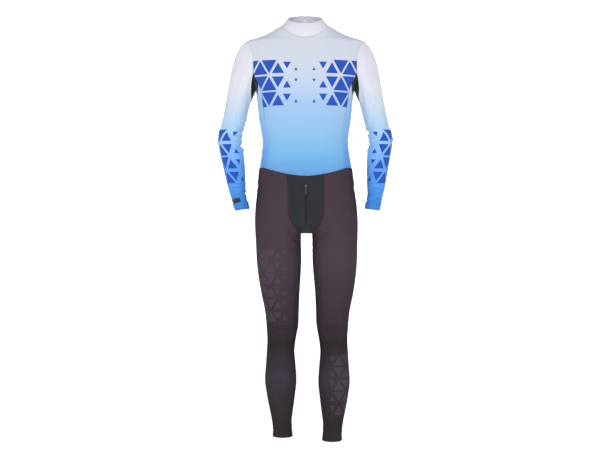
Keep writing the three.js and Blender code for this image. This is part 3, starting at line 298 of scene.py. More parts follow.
# Legs, in the order left, right.
LEG_CREASES = (
    Folds(
        (-118, 800, 34, 5.8, -2.4, 30, 6), (-140, 786, 30, 5.2, -3, 26, 5),
        (-158, 764, 26, 5.2, -2.6, 22, 4), (-128, 756, 34, 5.8, 1.9, 36, 5),
        (-165, 742, 22, 5.8, -1.7, 14),
        (-95, 834, 40, 7.2, -1.7, 42, 6), (-94, 491, 26, 5, 3.2, 3, -4), (-90, 480, 32, 5.5, -3.4, 2, -4),
        (-98, 465, 28, 5.8, -2.6, -6, 3), (-84, 450, 32, 7.5, -2.2, 5), (-60, 520, 30, 7.2, -1.1, 24),
        (100, 512, 32, 5.2, -2.2, 6, 3), (78, 494, 30, 5.2, -2.4, -8), (110, 470, 30, 5.2, -1.9, -6, 3),
        (90, 452, 28, 5.8, -1.6, 4), (150, 800, 36, 5.8, -2.6, -30, 5), (140, 768, 30, 5.8, -2.2, -18),
        (120, 742, 34, 7.2, -1.7, -12), (-80, 138, 30, 4.1, -1.7, 5), (-110, 152, 28, 4.3, -1.6, -6, 2),
        (-50, 158, 26, 4.3, -1.3, 8), (-95, 172, 30, 5.8, -1.1, 3), (-140, 146, 24, 4.3, -1.6, 4),
        (90, 146, 30, 4.3, -1.6, -4), (60, 160, 28, 4.6, -1.3, 6), (120, 170, 28, 5.8, -1.3, 3),
        (0, 960, 40, 7.2, -1.6, 8, 4), (-30, 1002, 34, 5.8, -1.3, -6, 2), (30, 996, 34, 5.8, -1.6, 5),
        creased=True,
    ),
    Folds(
        (-122, 806, 34, 5.8, -2.6, 34, 6), (-138, 782, 30, 5.2, -2.8, 30, 5),
        (-156, 768, 26, 5.2, -2.4, 18, 4), (-126, 750, 32, 5.8, 1.7, 32, 4),
        (-162, 746, 22, 5.8, -1.9, 18),
        (-92, 828, 40, 7.2, -1.6, 38, 6), (-86, 492, 28, 5, 3.4, -4, -4), (-90, 482, 30, 5.5, -3.4, -3, -4),
        (-96, 468, 30, 5.8, -2.8, 5, 3), (-92, 450, 30, 7.5, -2, -6), (-120, 528, 28, 7.2, -1.1, -26),
        (92, 508, 32, 5.2, -2.4, -5, 3), (84, 488, 30, 5.2, -2.2, 7), (106, 474, 30, 5.2, -1.7, 6, 3),
        (96, 456, 28, 5.8, -1.6, -4), (146, 796, 36, 5.8, -2.4, -26, 5), (136, 760, 30, 5.8, -2.2, -22),
        (124, 738, 34, 7.2, -1.7, -8), (-72, 134, 30, 4.1, -1.7, -5), (-104, 148, 28, 4.3, -1.7, 4, 2),
        (-56, 154, 26, 4.3, -1.3, -8), (-88, 168, 30, 5.8, -1.1, -3), (-136, 142, 24, 4.3, -1.6, 6),
        (84, 142, 30, 4.3, -1.6, 4), (66, 156, 28, 4.6, -1.3, -6), (114, 166, 28, 5.8, -1.3, -3),
        (4, 966, 40, 7.2, -1.7, -6, 4), (-34, 1006, 34, 5.8, -1.3, 6, 2), (26, 990, 34, 5.8, -1.6, -4),
        creased=True,
    ),
)
# The top: degrees from centre front (positive to the wearer's left, 180 behind).
TOP_CREASES = Folds(
    (56, 1300, 44, 5, -1.7, 38, 5), (60, 1270, 40, 5, -1.2, 22, 4), (50, 1330, 40, 5, 1.2, 52),
    (-56, 1304, 44, 5, -1.8, -38, 5), (-61, 1266, 40, 5, -1.2, -20, 4), (-49, 1332, 40, 5, 1.2, -50),
    (44, 1128, 44, 7, -1, 12, 4), (-42, 1120, 46, 7, -1.2, -10, 4), (58, 1092, 36, 6, -1.4, 16, 3),
    (-60, 1086, 36, 6, -1.4, -14, 3), (52, 1056, 34, 5, -1.2, 8, 2), (-54, 1050, 34, 5, -1.2, -9, 2),
    (20, 1040, 46, 6, -0.8, -10, 4), (-22, 1044, 46, 6, -0.8, 8, 4), (8, 1410, 70, 12, -0.8, 80),
    (-10, 1400, 70, 12, -0.8, 100), (22, 1180, 70, 14, 0.8, 70), (-24, 1190, 70, 14, 0.8, 110),
    (80, 1120, 30, 5, -1.4, 5, 2), (-80, 1116, 30, 5, -1.4, -6, 2), (84, 1070, 28, 4, -1.2, -4),
    (-84, 1064, 28, 4, -1.2, 5), (130, 1130, 44, 7, -1.4, -10, 4), (-132, 1124, 46, 7, -1.4, 9, 4),
    (150, 1090, 44, 6, -1.5, -8, 4), (-148, 1084, 44, 6, -1.5, 10, 4), (125, 1052, 40, 5, -1.4, 6, 2),
    (-128, 1056, 40, 5, -1.4, -7, 2), (160, 1150, 40, 7, 1, -14), (-158, 1156, 40, 7, 1, 12),
    (122, 1300, 46, 6, -1.5, -36, 5), (-122, 1296, 46, 6, -1.5, 38, 5), (145, 1400, 60, 10, -0.9, -70),
    (-146, 1396, 60, 10, -0.9, 72),
    creased=True,
)
TOP_DEGREE = 2.8
COLLAR_CREASES = Folds(
    (38, 1494, 26, 4, -0.8, 8, 2), (-42, 1498, 26, 4, -0.8, -10, 2), (84, 1528, 24, 4, -0.7, -6),
    (-88, 1526, 24, 4, -0.7, 8), (12, 1484, 30, 5, 0.4, -4), (140, 1530, 28, 5, -0.8, 6, 2),
    (-136, 1534, 28, 5, -0.8, -6, 2),
    creased=True,
)
COLLAR_DEGREE = 1.15
# The gusset, in its own grid: share across times 40, then millimetres from the armhole fold.
GUSSET_CREASES = Folds(
    (10, -20, 26, 3.4, -1.2, 30, 4), (-14, -10, 26, 3.4, -1.1, -24, 4), (4, -4, 30, 3, -1.4, 6, 3),
    (-6, 10, 26, 3.2, -1.3, -8, 3), (12, 22, 22, 3.2, -1, 16, 2), (-8, 34, 22, 3.4, -0.9, -12, 2),
    creased=True,
)


class Skin(NamedTuple):
    """Points of a surface and the outward unit normals there."""

    points: Array
    normals: Array

    def lifted(self, by: Value) -> "Skin":
        """The same surface moved out along its normals."""
        return Skin(self.points + self.normals * np.asarray(by, float)[..., None], self.normals)

    def mirrored(self) -> "Skin":
        """The same surface on the other side of the body."""
        flip = np.array([-1.0, 1.0, 1.0])
        return Skin(self.points * flip, self.normals * flip)


def unit(vectors: Array) -> Array:
    """The vectors at length 1."""
    return vectors / np.linalg.norm(vectors, axis=-1, keepdims=True)


def skin_of(
    surface: Callable[[Array, Array], Array], u: Array, v: Array, du: float, dv: float, out: float = 1.0
) -> Skin:
    """Adds normals to a surface function: the cross product of its two central differences.

    Args:
        surface: the surface's point at two parameters.
        u: the first parameter.
        v: the second parameter.
        du: the step to each side along u.
        dv: the step to each side along v.
        out: 1 where the cross product points outwards, or -1.
    Returns:
        The skin at every u and v.
    """
    u, v = np.broadcast_arrays(np.asarray(u, float), np.asarray(v, float))
    along_u = surface(u + du, v) - surface(u - du, v)
    along_v = surface(u, v + dv) - surface(u, v - dv)
    return Skin(surface(u, v), unit(np.cross(along_u, along_v)) * out)


def graded(length: float, spacing: float = SPACING, ends: tuple[bool, bool] = (True, True)) -> Array:
    """Shares from 0 to 1, evenly spaced inside and closer towards the ends.

    Args:
        length: the length that the shares divide, in millimetres.
        spacing: the even spacing, in millimetres.
        ends: which ends have the rim's closer lines.
    Returns:
        The shares in rising order.
    """
    rim = np.array(RIM) / length
    inner = np.linspace(0, 1, max(int(round(length / spacing)), 2) + 1)[1:-1]
    low = rim if ends[0] else rim[:0]
    high = 1 - rim[::-1] if ends[1] else rim[:0]
    clear = 1.4 * rim[-1]
    inner = inner[(inner > (clear if ends[0] else 0)) & (inner < (1 - clear if ends[1] else 1))]
    return np.concatenate([[0], low, inner, high, [1]])


def arc(points: Array, axis: int) -> Array:
    """The length along a grid of points from its first line, along one of its axes."""
    steps = np.linalg.norm(np.diff(points, axis=axis), axis=-1)
    first = np.zeros_like(np.take(steps, [0], axis=axis))
    return np.concatenate([first, np.cumsum(steps, axis=axis)], axis=axis)


def to_frame(points: Array) -> Array:
    """Leans the garment a little to the wearer's left from the chest down, then turns millimetres
    above the floor into the frame's metres."""
    share = clamped((LEAN_TOP - points[..., 2]) / (LEAN_TOP - LEAN_BOTTOM))
    placed = points.copy()
    placed[..., 0] += LEAN_BY * share
    placed[..., 2] -= SHOULDER_HEIGHT
    return placed * MM


def along_line(at: Array, along: Array, values: Array) -> Array:
    """Values that belong to the points of a line, read between them.

    Args:
        at: where to read, as lengths along the line.
        along: the points' own lengths.
        values: three values for each point.
    Returns:
        Three values for each place.
    """
    return np.stack([np.interp(at, along, values[:, k]) for k in range(3)], 1)


def centred_uv(points: Array, up: Array) -> Array:
    """A UV map in millimetres: the arc length from the grid's middle line, and up."""
    across = arc(points, 1)
    return np.stack([across - across[:, -1:] / 2, up], -1)


def sided(name: str, left: bool) -> str:
    """The name of a piece that the suit has on both sides."""
    return f"{name}_{'left' if left else 'right'}"


def make_object(name: str, vertices: Array, faces: Sequence[Array]) -> bpy.types.Object:
    """Puts arrays of corners and faces into a new mesh object at the origin.

    Args:
        name: the piece's name.
        vertices: corners in the frame's metres, one a row.
        faces: arrays of faces, each with its own number of corners a row.
    Returns:
        The object, linked to the scene and smooth shaded.
    """
    mesh = bpy.data.meshes.new(name)
    corners = np.concatenate([block.ravel() for block in faces]).astype(np.int32)
    sizes = np.concatenate([np.full(len(block), block.shape[1]) for block in faces])
    mesh.vertices.add(len(vertices))
    mesh.vertices.foreach_set("co", np.ascontiguousarray(vertices, np.float32).ravel())
    mesh.loops.add(len(corners))
    mesh.loops.foreach_set("vertex_index", corners)
    mesh.polygons.add(len(sizes))
    starts = np.concatenate([[0], np.cumsum(sizes)[:-1]]).astype(np.int32)
    mesh.polygons.foreach_set("loop_start", starts)
    mesh.update(calc_edges=True)
    mesh.polygons.foreach_set("use_smooth", np.ones(len(sizes), bool))
    piece = bpy.data.objects.new(name, mesh)
    bpy.context.scene.collection.objects.link(piece)
    return piece


def set_uv(piece: bpy.types.Object, uv: Array) -> None:
    """Gives the mesh a UV map, in metres, from one pair of values for each vertex."""
    mesh = piece.data
    index = np.empty(len(mesh.loops), np.int32)
    mesh.loops.foreach_get("vertex_index", index)
    layer = mesh.uv_layers.new(name="cloth")
    layer.data.foreach_set("uv", (uv[index] * MM).astype(np.float32).ravel())


def repeated(
    template: Array, faces: Sequence[Array], origins: Array, axes: Array
) -> tuple[Array, list[Array]]:
    """Copies of a small closed shape, joined: each corner is its origin plus its coordinates along
    that copy's three axes.

    Args:
        template: the shape's corners, one a row.
        faces: the shape's faces, by number of corners.
        origins: a place for each copy.
        axes: three axes for each copy, one a row.
    Returns:
        All corners, and the faces in the same blocks as the template's.
    """
    vertices = origins[:, None, :] + np.einsum("kc,ncd->nkd", template, axes)
    shift = (np.arange(len(origins)) * len(template))[:, None, None]
    blocks = [(block[None] + shift).reshape(-1, block.shape[1]) for block in faces]
    return vertices.reshape(-1, 3), blocks


# Finishes


def srgb(red: float, green: float, blue: float) -> tuple[float, float, float, float]:
    """The linear colour of a display colour from 0 to 255."""
    part = np.array([red, green, blue]) / 255
    linear = np.where(part <= 0.04045, part / 12.92, ((part + 0.055) / 1.055) ** 2.4)
    return (*[float(value) for value in linear], 1.0)


Socket = Union[bpy.types.NodeSocket, float]


class Graph:
    """A short way to write a material's nodes."""

    def __init__(self, name: str) -> None:
        """Starts a material with one shader."""
        self.material = bpy.data.materials.new(name)
        self.material.use_nodes = True
        self.tree = self.material.node_tree
        self.tree.nodes.clear()
        self.shader = self.node("ShaderNodeBsdfPrincipled")
        out = self.node("ShaderNodeOutputMaterial")
        self.tree.links.new(self.shader.outputs[0], out.inputs[0])

    def node(self, kind: str, **settings: object) -> bpy.types.Node:
        """A new node of that kind with its settings."""
        made = self.tree.nodes.new(kind)
        for key, value in settings.items():
            setattr(made, key, value)
        return made

    def feed(self, socket: bpy.types.NodeSocket, value: object) -> None:
        """Links a socket into another, or sets its value."""
        if isinstance(value, bpy.types.NodeSocket):
            self.tree.links.new(value, socket)
        else:
            socket.default_value = value

    def math(self, operation: str, *values: Socket) -> bpy.types.NodeSocket:
        """The result of one operation on numbers."""
        made = self.node("ShaderNodeMath", operation=operation)
        for socket, value in zip(made.inputs, values):
            self.feed(socket, value)
        return made.outputs[0]

    def between(self, value: Socket, low: Socket, high: Socket) -> bpy.types.NodeSocket:
        """1 where the value lies between two limits, and 0 elsewhere."""
        above = self.math("GREATER_THAN", value, low)
        return self.math("MULTIPLY", above, self.math("LESS_THAN", value, high))

    def mix(self, factor: Socket, first: object, second: object, blend: str = "MIX") -> bpy.types.NodeSocket:
        """A blend of two colours."""
        made = self.node("ShaderNodeMix", data_type="RGBA", blend_type=blend)
        for index, value in ((0, factor), (6, first), (7, second)):
            self.feed(made.inputs[index], value)
        return made.outputs[2]

    def place(self, source: str) -> tuple[bpy.types.NodeSocket, ...]:
        """The x, y and z of a texture coordinate, such as Object or UV."""
        coordinate = self.node("ShaderNodeTexCoord")
        split = self.node("ShaderNodeSeparateXYZ")
        self.feed(split.inputs[0], coordinate.outputs[source])
        return tuple(split.outputs)

    def noise(self, source: str, scale: float, detail: float = 2.0) -> bpy.types.NodeSocket:
        """Soft noise from 0 to 1."""
        made = self.node("ShaderNodeTexNoise")
        made.inputs["Scale"].default_value = scale
        made.inputs["Detail"].default_value = detail
        self.feed(made.inputs["Vector"], self.node("ShaderNodeTexCoord").outputs[source])
        return made.outputs["Fac"]

    def bump(self, height: Socket, distance: float, strength: float) -> None:
        """Feeds a height into the shader's normal."""
        made = self.node("ShaderNodeBump")
        made.inputs["Distance"].default_value = distance
        made.inputs["Strength"].default_value = strength
        self.feed(made.inputs["Height"], height)
        self.feed(self.shader.inputs["Normal"], made.outputs[0])

    def set(self, **values: object) -> None:
        """Sets the shader's own sockets, by their names with _ for a space."""
        for key, value in values.items():
            self.feed(self.shader.inputs[key.replace("_", " ")], value)


class Ground(Enum):
    """What a motif's coordinates are read from."""

    ROUND_THE_PIECE = "UV"
    SEEN_FROM_THE_FRONT = "Object"


@dataclass(frozen=True)
class TriangleRows:
    """Triangles that point up and down in turn, in rows, and shrink to nothing at the motif's sides.

    Three sets of evenly spaced lines cut the plane into triangles: level ones, and two that lean to
    either side. Each set is a fraction that runs from 0 to 1 between its lines. A triangle is where
    all three fractions stay clear of 0 and 1 by its inset, which is the same all over the triangle:
    half a gap in the motif's middle, and a third of the lines' spacing where it has shrunk away.
    """

    ground: Ground
    colour: tuple[float, float, float, float]
    side: float
    tall: float
    low: float
    rows: int
    middle: float
    reach: float
    run: float
    gap: float = 5.5
    strength: float = 1.0

    def over(self, graph: Graph, base: object) -> bpy.types.NodeSocket:
        """Lays the motif over a colour.

        Args:
            graph: the material's nodes.
            base: the colour below.
        Returns:
            The colour with the motif.
        """
        sockets = graph.place(self.ground.value)
        on_cloth = self.ground is Ground.ROUND_THE_PIECE
        across = sockets[0] if on_cloth else graph.math("ABSOLUTE", sockets[0])
        lift = -self.low if on_cloth else SHOULDER_HEIGHT - self.low
        up = graph.math("MULTIPLY_ADD", sockets[1] if on_cloth else sockets[2], 1 / MM, lift)
        row = graph.math("DIVIDE", up, self.tall)
        column = graph.math("DIVIDE", across, self.side * MM)
        half_row = graph.math("MULTIPLY", row, 0.5)
        rising = graph.math("SUBTRACT", column, half_row)
        falling = graph.math("ADD", column, half_row)
        cell = graph.math("ADD", graph.math("FLOOR", rising), graph.math("FLOOR", falling))
        cell_middle = graph.math("MULTIPLY_ADD", cell, self.side / 2, self.side / 2 - self.middle)
        left = graph.math("SUBTRACT", self.reach, graph.math("ABSOLUTE", cell_middle))
        full = graph.math("MAXIMUM", graph.math("MINIMUM", graph.math("DIVIDE", left, self.run), 1.0), 0.0)
        slant = self.side * self.tall / np.hypot(self.side / 2, self.tall)
        shape: Socket = graph.between(row, 0.0, self.rows)
        for lines, spacing in ((row, self.tall), (rising, slant), (falling, slant)):
            off = graph.math("ABSOLUTE", graph.math("SUBTRACT", graph.math("FRACT", lines), 0.5))
            room = graph.math("MULTIPLY_ADD", full, 1 / 3 - self.gap / 2 / spacing, 1 / 6)
            shape = graph.math("MULTIPLY", shape, graph.math("LESS_THAN", off, room))
        return graph.mix(graph.math("MULTIPLY", shape, self.strength), base, self.colour)


@dataclass(frozen=True)
class ColourByHeight:
    """The cloth's colour by height: stops of height in millimetres and display colour."""

    stops: tuple[tuple[float, tuple[float, float, float]], ...]

    def over(self, graph: Graph) -> bpy.types.NodeSocket:
        """The colour at the surface's height, with straight blends between its stops."""
        low, high = self.stops[0][0], self.stops[-1][0]
        z = graph.place("Object")[2]
        up = graph.math("ADD", graph.math("DIVIDE", z, MM), SHOULDER_HEIGHT - low)
        ramp = graph.node("ShaderNodeValToRGB")
        elements = ramp.color_ramp.elements
        for _ in self.stops[2:]:
            elements.new(0.5)
        for element, (height, colour) in zip(elements, self.stops):
            element.position = (height - low) / (high - low)
        for element, (height, colour) in zip(elements, self.stops):
            element.color = srgb(*colour)
        graph.feed(ramp.inputs[0], graph.math("DIVIDE", up, high - low))
        return ramp.outputs[0]


@dataclass(frozen=True)
class Knit:
    """A fine stretch knit: columns and rows of small loops, a soft tone and a slight sheen."""

    name: str
    slot: str
    colouring: Union[ColourByHeight, tuple[float, float, float]]
    motifs: tuple[TriangleRows, ...] = ()
    roughness: float = 0.62
    sheen: float = 0.05
    sheen_tint: tuple[float, float, float] = (255, 255, 255)
    loop_wide: float = 0.9
    loop_tall: float = 0.7
    bump: float = 0.35
    tone: float = 0.05
    specular: float = 0.16
    # The scales of the tone's slow and fine noise.
    SLOW, GRAIN = 9.0, 900.0
    # How much a row counts beside a column in the loops, and the loops' depth in millimetres.
    ROW_SHARE, LOOP_DEEP = 0.6, 0.06

    def material(self) -> bpy.types.Material:
        """Loops are the sum of two sines of the UV map. The tone is slow noise and fine grain."""
        graph = Graph(self.name)
        colour = self.colouring.over(graph) if isinstance(self.colouring, ColourByHeight) else srgb(*self.colouring)
        for motif in self.motifs:
            colour = motif.over(graph, colour)
        slow = graph.noise("Object", self.SLOW)
        grain = graph.noise("UV", self.GRAIN, 1.0)
        shade = graph.math("MULTIPLY_ADD", slow, self.tone, 1 - self.tone / 2)
        shade = graph.math("MULTIPLY", shade, graph.math("MULTIPLY_ADD", grain, self.tone, 1 - self.tone / 2))
        grey = graph.node("ShaderNodeCombineColor")
        for socket in grey.inputs:
            graph.feed(socket, shade)
        graph.set(Base_Color=graph.mix(1.0, colour, grey.outputs[0], "MULTIPLY"))
        u, v, _ = graph.place("UV")
        columns = graph.math("SINE", graph.math("MULTIPLY", u, 2 * np.pi / (self.loop_wide * MM)))
        rows = graph.math("SINE", graph.math("MULTIPLY", v, 2 * np.pi / (self.loop_tall * MM)))
        loops = graph.math("ADD", columns, graph.math("MULTIPLY", rows, self.ROW_SHARE))
        graph.bump(loops, self.LOOP_DEEP * MM, self.bump)
        graph.set(
            Roughness=self.roughness, Sheen_Weight=self.sheen, Sheen_Roughness=0.5,
            Sheen_Tint=srgb(*self.sheen_tint), Specular_IOR_Level=self.specular,
        )
        return graph.material


@dataclass(frozen=True)
class MeshKnit:
    """An open black knit: small holes in staggered rows, painted dark as shade."""

    name: str
    slot: str
    colour: tuple[float, float, float]
    hole: float = 1.7
    # How high the waves are at a hole's rim, how much of the thread's colour the painted shade in a hole
    # keeps, and its depth in millimetres.
    RIM_AT, INSIDE, HOLE_DEEP = 0.3, 0.35, 0.2

    def material(self) -> bpy.types.Material:
        """Holes are where the product of a cosine along and across the UV map is high."""
        graph = Graph(self.name)
        u, v, _ = graph.place("UV")
        rate = 2 * np.pi / (self.hole * MM)
        waves = [graph.math("COSINE", graph.math("MULTIPLY", side, rate)) for side in (u, v)]
        hole = graph.math("GREATER_THAN", graph.math("MULTIPLY", *waves), self.RIM_AT)
        # Painted shade: each hole takes a darker copy of the thread's colour.
        thread, dark = srgb(*self.colour), srgb(*[part * self.INSIDE for part in self.colour])
        graph.set(Base_Color=graph.mix(hole, thread, dark))
        graph.bump(graph.math("SUBTRACT", 1.0, hole), self.HOLE_DEEP * MM, 0.7)
        graph.set(Roughness=0.75, Sheen_Weight=0.15, Sheen_Roughness=0.5, Specular_IOR_Level=0.25)
        return graph.material


@dataclass(frozen=True)
class Smooth:
    """Metal, moulded plastic or thread, with a faint mottle in its gloss."""

    name: str
    slot: str
    colour: tuple[float, float, float]
    roughness: float
    metallic: float = 0.0
    grain: float = 300.0
    colouring: Optional[ColourByHeight] = None
    # How far the noise moves the roughness in all, and the bump's depth in millimetres.
    MOTTLE, BUMP_DEEP = 0.16, 0.03

    def material(self) -> bpy.types.Material:
        """Noise moves the roughness a little and gives the surface a slight bump."""
        graph = Graph(self.name)
        colour = self.colouring.over(graph) if self.colouring else srgb(*self.colour)
        graph.set(Base_Color=colour, Metallic=self.metallic)
        noise = graph.noise("Object", self.grain)
        least = self.roughness - self.MOTTLE / 2
        graph.set(Roughness=graph.math("MULTIPLY_ADD", noise, self.MOTTLE, least))
        graph.bump(noise, self.BUMP_DEEP * MM, 0.3)
        return graph.material


OMBRE = ColourByHeight((
    (1000, (96, 157, 218)),
    (1030, (107, 166, 219)),
    (1075, (121, 180, 229)),
    (1140, (139, 188, 227)),
    (1240, (161, 193, 230)),
    (1300, (187, 205, 230)),
    (1370, (207, 213, 226)),
    (1560, (211, 215, 226)),
))
SLEEVE_OMBRE = ColourByHeight((
    (880, (57, 122, 204)),
    (950, (76, 148, 230)),
    (1035, (104, 166, 238)),
    (1110, (145, 194, 238)),
    (1175, (176, 208, 236)),
    (1235, (203, 215, 230)),
    (1300, (220, 222, 232)),
    (1560, (222, 221, 231)),
))
SIDE_OMBRE = ColourByHeight((
    (1000, (87, 150, 227)),
    (1075, (111, 175, 233)),
    (1150, (136, 189, 237)),
    (1240, (166, 203, 240)),
    (1320, (205, 220, 243)),
))
ROYAL = srgb(38, 82, 182)
CHEST_ROWS = TriangleRows(
    Ground.SEEN_FROM_THE_FRONT, ROYAL, side=60, tall=54, low=1226, rows=3, middle=180, reach=175, run=105,
)
FOREARM_ROWS = TriangleRows(
    Ground.ROUND_THE_PIECE, ROYAL, side=54, tall=47, low=972, rows=4, middle=-15, reach=95, run=70,
)
TONAL = dict(side=46, tall=42, colour=srgb(92, 79, 90), strength=0.32)
THIGH_ROWS = TriangleRows(
    Ground.SEEN_FROM_THE_FRONT, low=506, rows=6, middle=130, reach=85, run=70, **TONAL,
)
CALF_ROWS = TriangleRows(
    Ground.SEEN_FROM_THE_FRONT, low=190, rows=5, middle=130, reach=65, run=50, **TONAL,
)
# The tights' charcoal by height, with painted light and shade: darker from the knees down, darkest in a band
# just below the knee, and lighter over the calf.
TIGHTS_SHADED_BY_HEIGHT = ColourByHeight((
    (100, (52, 48, 50)),
    (150, (49, 44, 47)),
    (240, (54, 49, 54)),
    (320, (62, 57, 65)),
    (430, (50, 44, 49)),
    (500, (58, 50, 57)),
    (700, (72, 62, 71)),
    (1030, (72, 60, 69)),
))
# The tights' colour by height carries that painted light and shade.
TIGHTS_LOOK = dict(
    colouring=TIGHTS_SHADED_BY_HEIGHT, roughness=0.7, sheen=0.0, sheen_tint=(200, 180, 200), loop_wide=0.8, specular=0.0,
)


class Finishes(Enum):
    """Every finish on the suit."""

    WHITE_KNIT = Knit("white knit", "white_stretch", (226, 224, 234))
    FADED_KNIT = Knit("faded knit", "faded_stretch", OMBRE)
    PRINTED_FRONT = Knit("printed front", "faded_stretch", OMBRE, (CHEST_ROWS,))
    PRINTED_SLEEVE = Knit("printed sleeve", "faded_stretch", SLEEVE_OMBRE, (FOREARM_ROWS,))
    SIDE_KNIT = Knit("side knit", "faded_stretch", SIDE_OMBRE)
    BLUE_KNIT = Knit("blue knit", "blue_stretch", SLEEVE_OMBRE)
    BLACK_MESH = MeshKnit("black mesh", "black_mesh", (24, 25, 28))
    CHARCOAL_KNIT = Knit("charcoal knit", "charcoal_stretch", **TIGHTS_LOOK)
    TONAL_THIGH = Knit("tonal thigh", "charcoal_stretch", motifs=(THIGH_ROWS,), **TIGHTS_LOOK)
    TONAL_CALF = Knit("tonal calf", "charcoal_stretch", motifs=(CALF_ROWS,), **TIGHTS_LOOK)
    BLACK_KNIT = Knit(
        "black knit", "black_knit", (40, 41, 46), roughness=0.75, sheen=0.08, loop_wide=1.1, specular=0.2,
    )
    PATCH = Smooth("patch", "dark_patch", (22, 26, 44), 0.5)
    BLACK_COIL = Smooth("black coil", "black_zip", (24, 24, 27), 0.42)
    WHITE_COIL = Smooth("white coil", "white_zip", (222, 225, 234), 0.42)
    DARK_METAL = Smooth("dark metal", "dark_metal", (88, 88, 92), 0.26, 1.0)
    LIGHT_METAL = Smooth("light metal", "light_metal", (200, 202, 206), 0.28, 1.0)
    FADED_THREAD = Smooth("faded thread", "faded_stretch", (210, 218, 236), 0.55, colouring=OMBRE)
    DARK_THREAD = Smooth("dark thread", "charcoal_stretch", (44, 40, 45), 0.6)

    @property
    def made(self) -> bpy.types.Material:
        """The material, made once."""
        known = bpy.data.materials.get(self.value.name)
        return known or self.value.material()


def report(piece: bpy.types.Object) -> None:
    """Logs a finished piece and its size."""
    LOG.info("%s: %d faces", piece.name, len(piece.data.polygons))


def finished(piece: bpy.types.Object, finish: Finishes, body: str = SUIT) -> bpy.types.Object:
    """Gives a new piece its material and body."""
    piece.data.materials.append(finish.made)
    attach(piece, body)
    report(piece)
    return piece


# Sewing


class Sewing:
    """Rows of stitches, gathered by finish while the cloth is made and built at the end."""

    PITCH = 3.2
    LONG, WIDE, TALL = 2.4, 0.62, 0.34
    FROM_SEAM = 1.9
    ABOVE_CLOTH = 0.1
    # A stitch's two square rings: size and distance from its middle, as shares of its own.
    RING, RING_AT = 0.9, 0.45

    def __init__(self) -> None:
        """Starts with no rows."""
        self.rows: dict[str, list[Skin]] = {}
        self.finish: dict[str, Finishes] = {}

    def add(self, group: str, finish: Finishes, row: Skin) -> None:
        """Adds a row of stitches that follows points on the cloth."""
        self.rows.setdefault(group, []).append(row)
        self.finish[group] = finish

    def places(self, row: Skin) -> tuple[Array, Array]:
        """Spaces stitches evenly along a row.

        Args:
            row: points and normals along the row.
        Returns:
            The stitches' middles, and their axes: along the row, across it and out of the cloth.
        """
        along = arc(row.points, 0)
        count = max(int(along[-1] / self.PITCH), 1)
        at = (np.arange(count) + 0.5) * along[-1] / count
        half = self.LONG / 2
        normals = unit(along_line(at, along, row.normals))
        ahead, back = (along_line(at + step, along, row.points) for step in (half, -half))
        tangents = unit(ahead - back)
        sides = unit(np.cross(normals, tangents))
        middles = along_line(at, along, row.points) + normals * self.ABOVE_CLOTH
        return middles, np.stack([tangents, sides, normals], axis=1)

    def build(self) -> None:
        """A stitch is a closed spindle: two tips with two square rings between them."""
        ring = np.array([[0, 1, 0], [0, 0, 1], [0, -1, 0], [0, 0, -1]], float)
        size = np.array([self.LONG / 2, self.WIDE / 2, self.TALL / 2])
        rings = [ring * self.RING + [at, 0, 0] for at in (-self.RING_AT, self.RING_AT)]
        template = np.vstack([[[-1, 0, 0]], *rings, [[1, 0, 0]]])
        k = np.arange(4)
        after = (k + 1) % 4
        tips = np.vstack([
            np.stack([0 * k, 1 + after, 1 + k], 1),
            np.stack([9 + 0 * k, 5 + k, 5 + after], 1),
        ])
        sides = np.stack([1 + k, 1 + after, 5 + after, 5 + k], 1)
        for group, rows in self.rows.items():
            places = [self.places(row) for row in rows]
            origins = np.concatenate([middles for middles, _ in places])
            axes = np.concatenate([frames for _, frames in places])
            vertices, faces = repeated(template * size, (tips, sides), origins, axes)
            finished(make_object(group, to_frame(vertices), faces), self.finish[group])


# Cloth


class Edge(Enum):
    """How an edge of a cut piece is finished."""

    SEWN = "sewn"
    HEM = "hem"
    TURNED = "turned"
    RAW = "raw"


ALL_SEWN = (Edge.SEWN,) * 4


def line_at(skin: Skin, distance: float) -> Skin:
    """A line on the cloth at an even distance from the grid's first column.

    Args:
        skin: the grid, rows by columns.
        distance: how far in, measured along each row.
    Returns:
        One point and normal for each row.
    """
    lengths = arc(skin.points, 1)
    rows = np.arange(len(lengths))
    k = np.clip((lengths < distance).sum(axis=1), 1, lengths.shape[1] - 1)
    share = (distance - lengths[rows, k - 1]) / (lengths[rows, k] - lengths[rows, k - 1])
    share = clamped(share)[:, None]
    blend = lambda grid: grid[rows, k - 1] * (1 - share) + grid[rows, k] * share
    return Skin(blend(skin.points), unit(blend(skin.normals)))


def from_edge(skin: Skin, side: int) -> Skin:
    """The grid turned so that its left, right, first or last edge becomes its first column."""
    points, normals = skin
    if side >= 2:
        points, normals = points.swapaxes(0, 1), normals.swapaxes(0, 1)
    if side % 2:
        points, normals = points[:, ::-1], normals[:, ::-1]
    return Skin(points, normals)


# The bank beside a sewn edge: its height, place and half width. Then the seam's own half width.
BANK, BANK_AT, BANK_HALF, SEAM_HALF = 0.2, 5.0, 2.4, 1.7
# A doubled hem: how softly it ends, how much thicker it is and how much of that lies outside.
HEM_SOFT, HEM_THICKER, HEM_PROUD = 0.9, 0.8, 0.25
# The groove of a hem's stitches: its depth, its distance from the hem's raw edge, its half width,
# and the distances of its two rows.
GROOVE, GROOVE_AT, GROOVE_HALF, GROOVE_ROWS = 0.3, 2.0, 1.4, (1.0, 4.2)
# How much of its rounding a turned edge takes off the wall, so that a little is left at the rim.
ROUNDED = 0.96


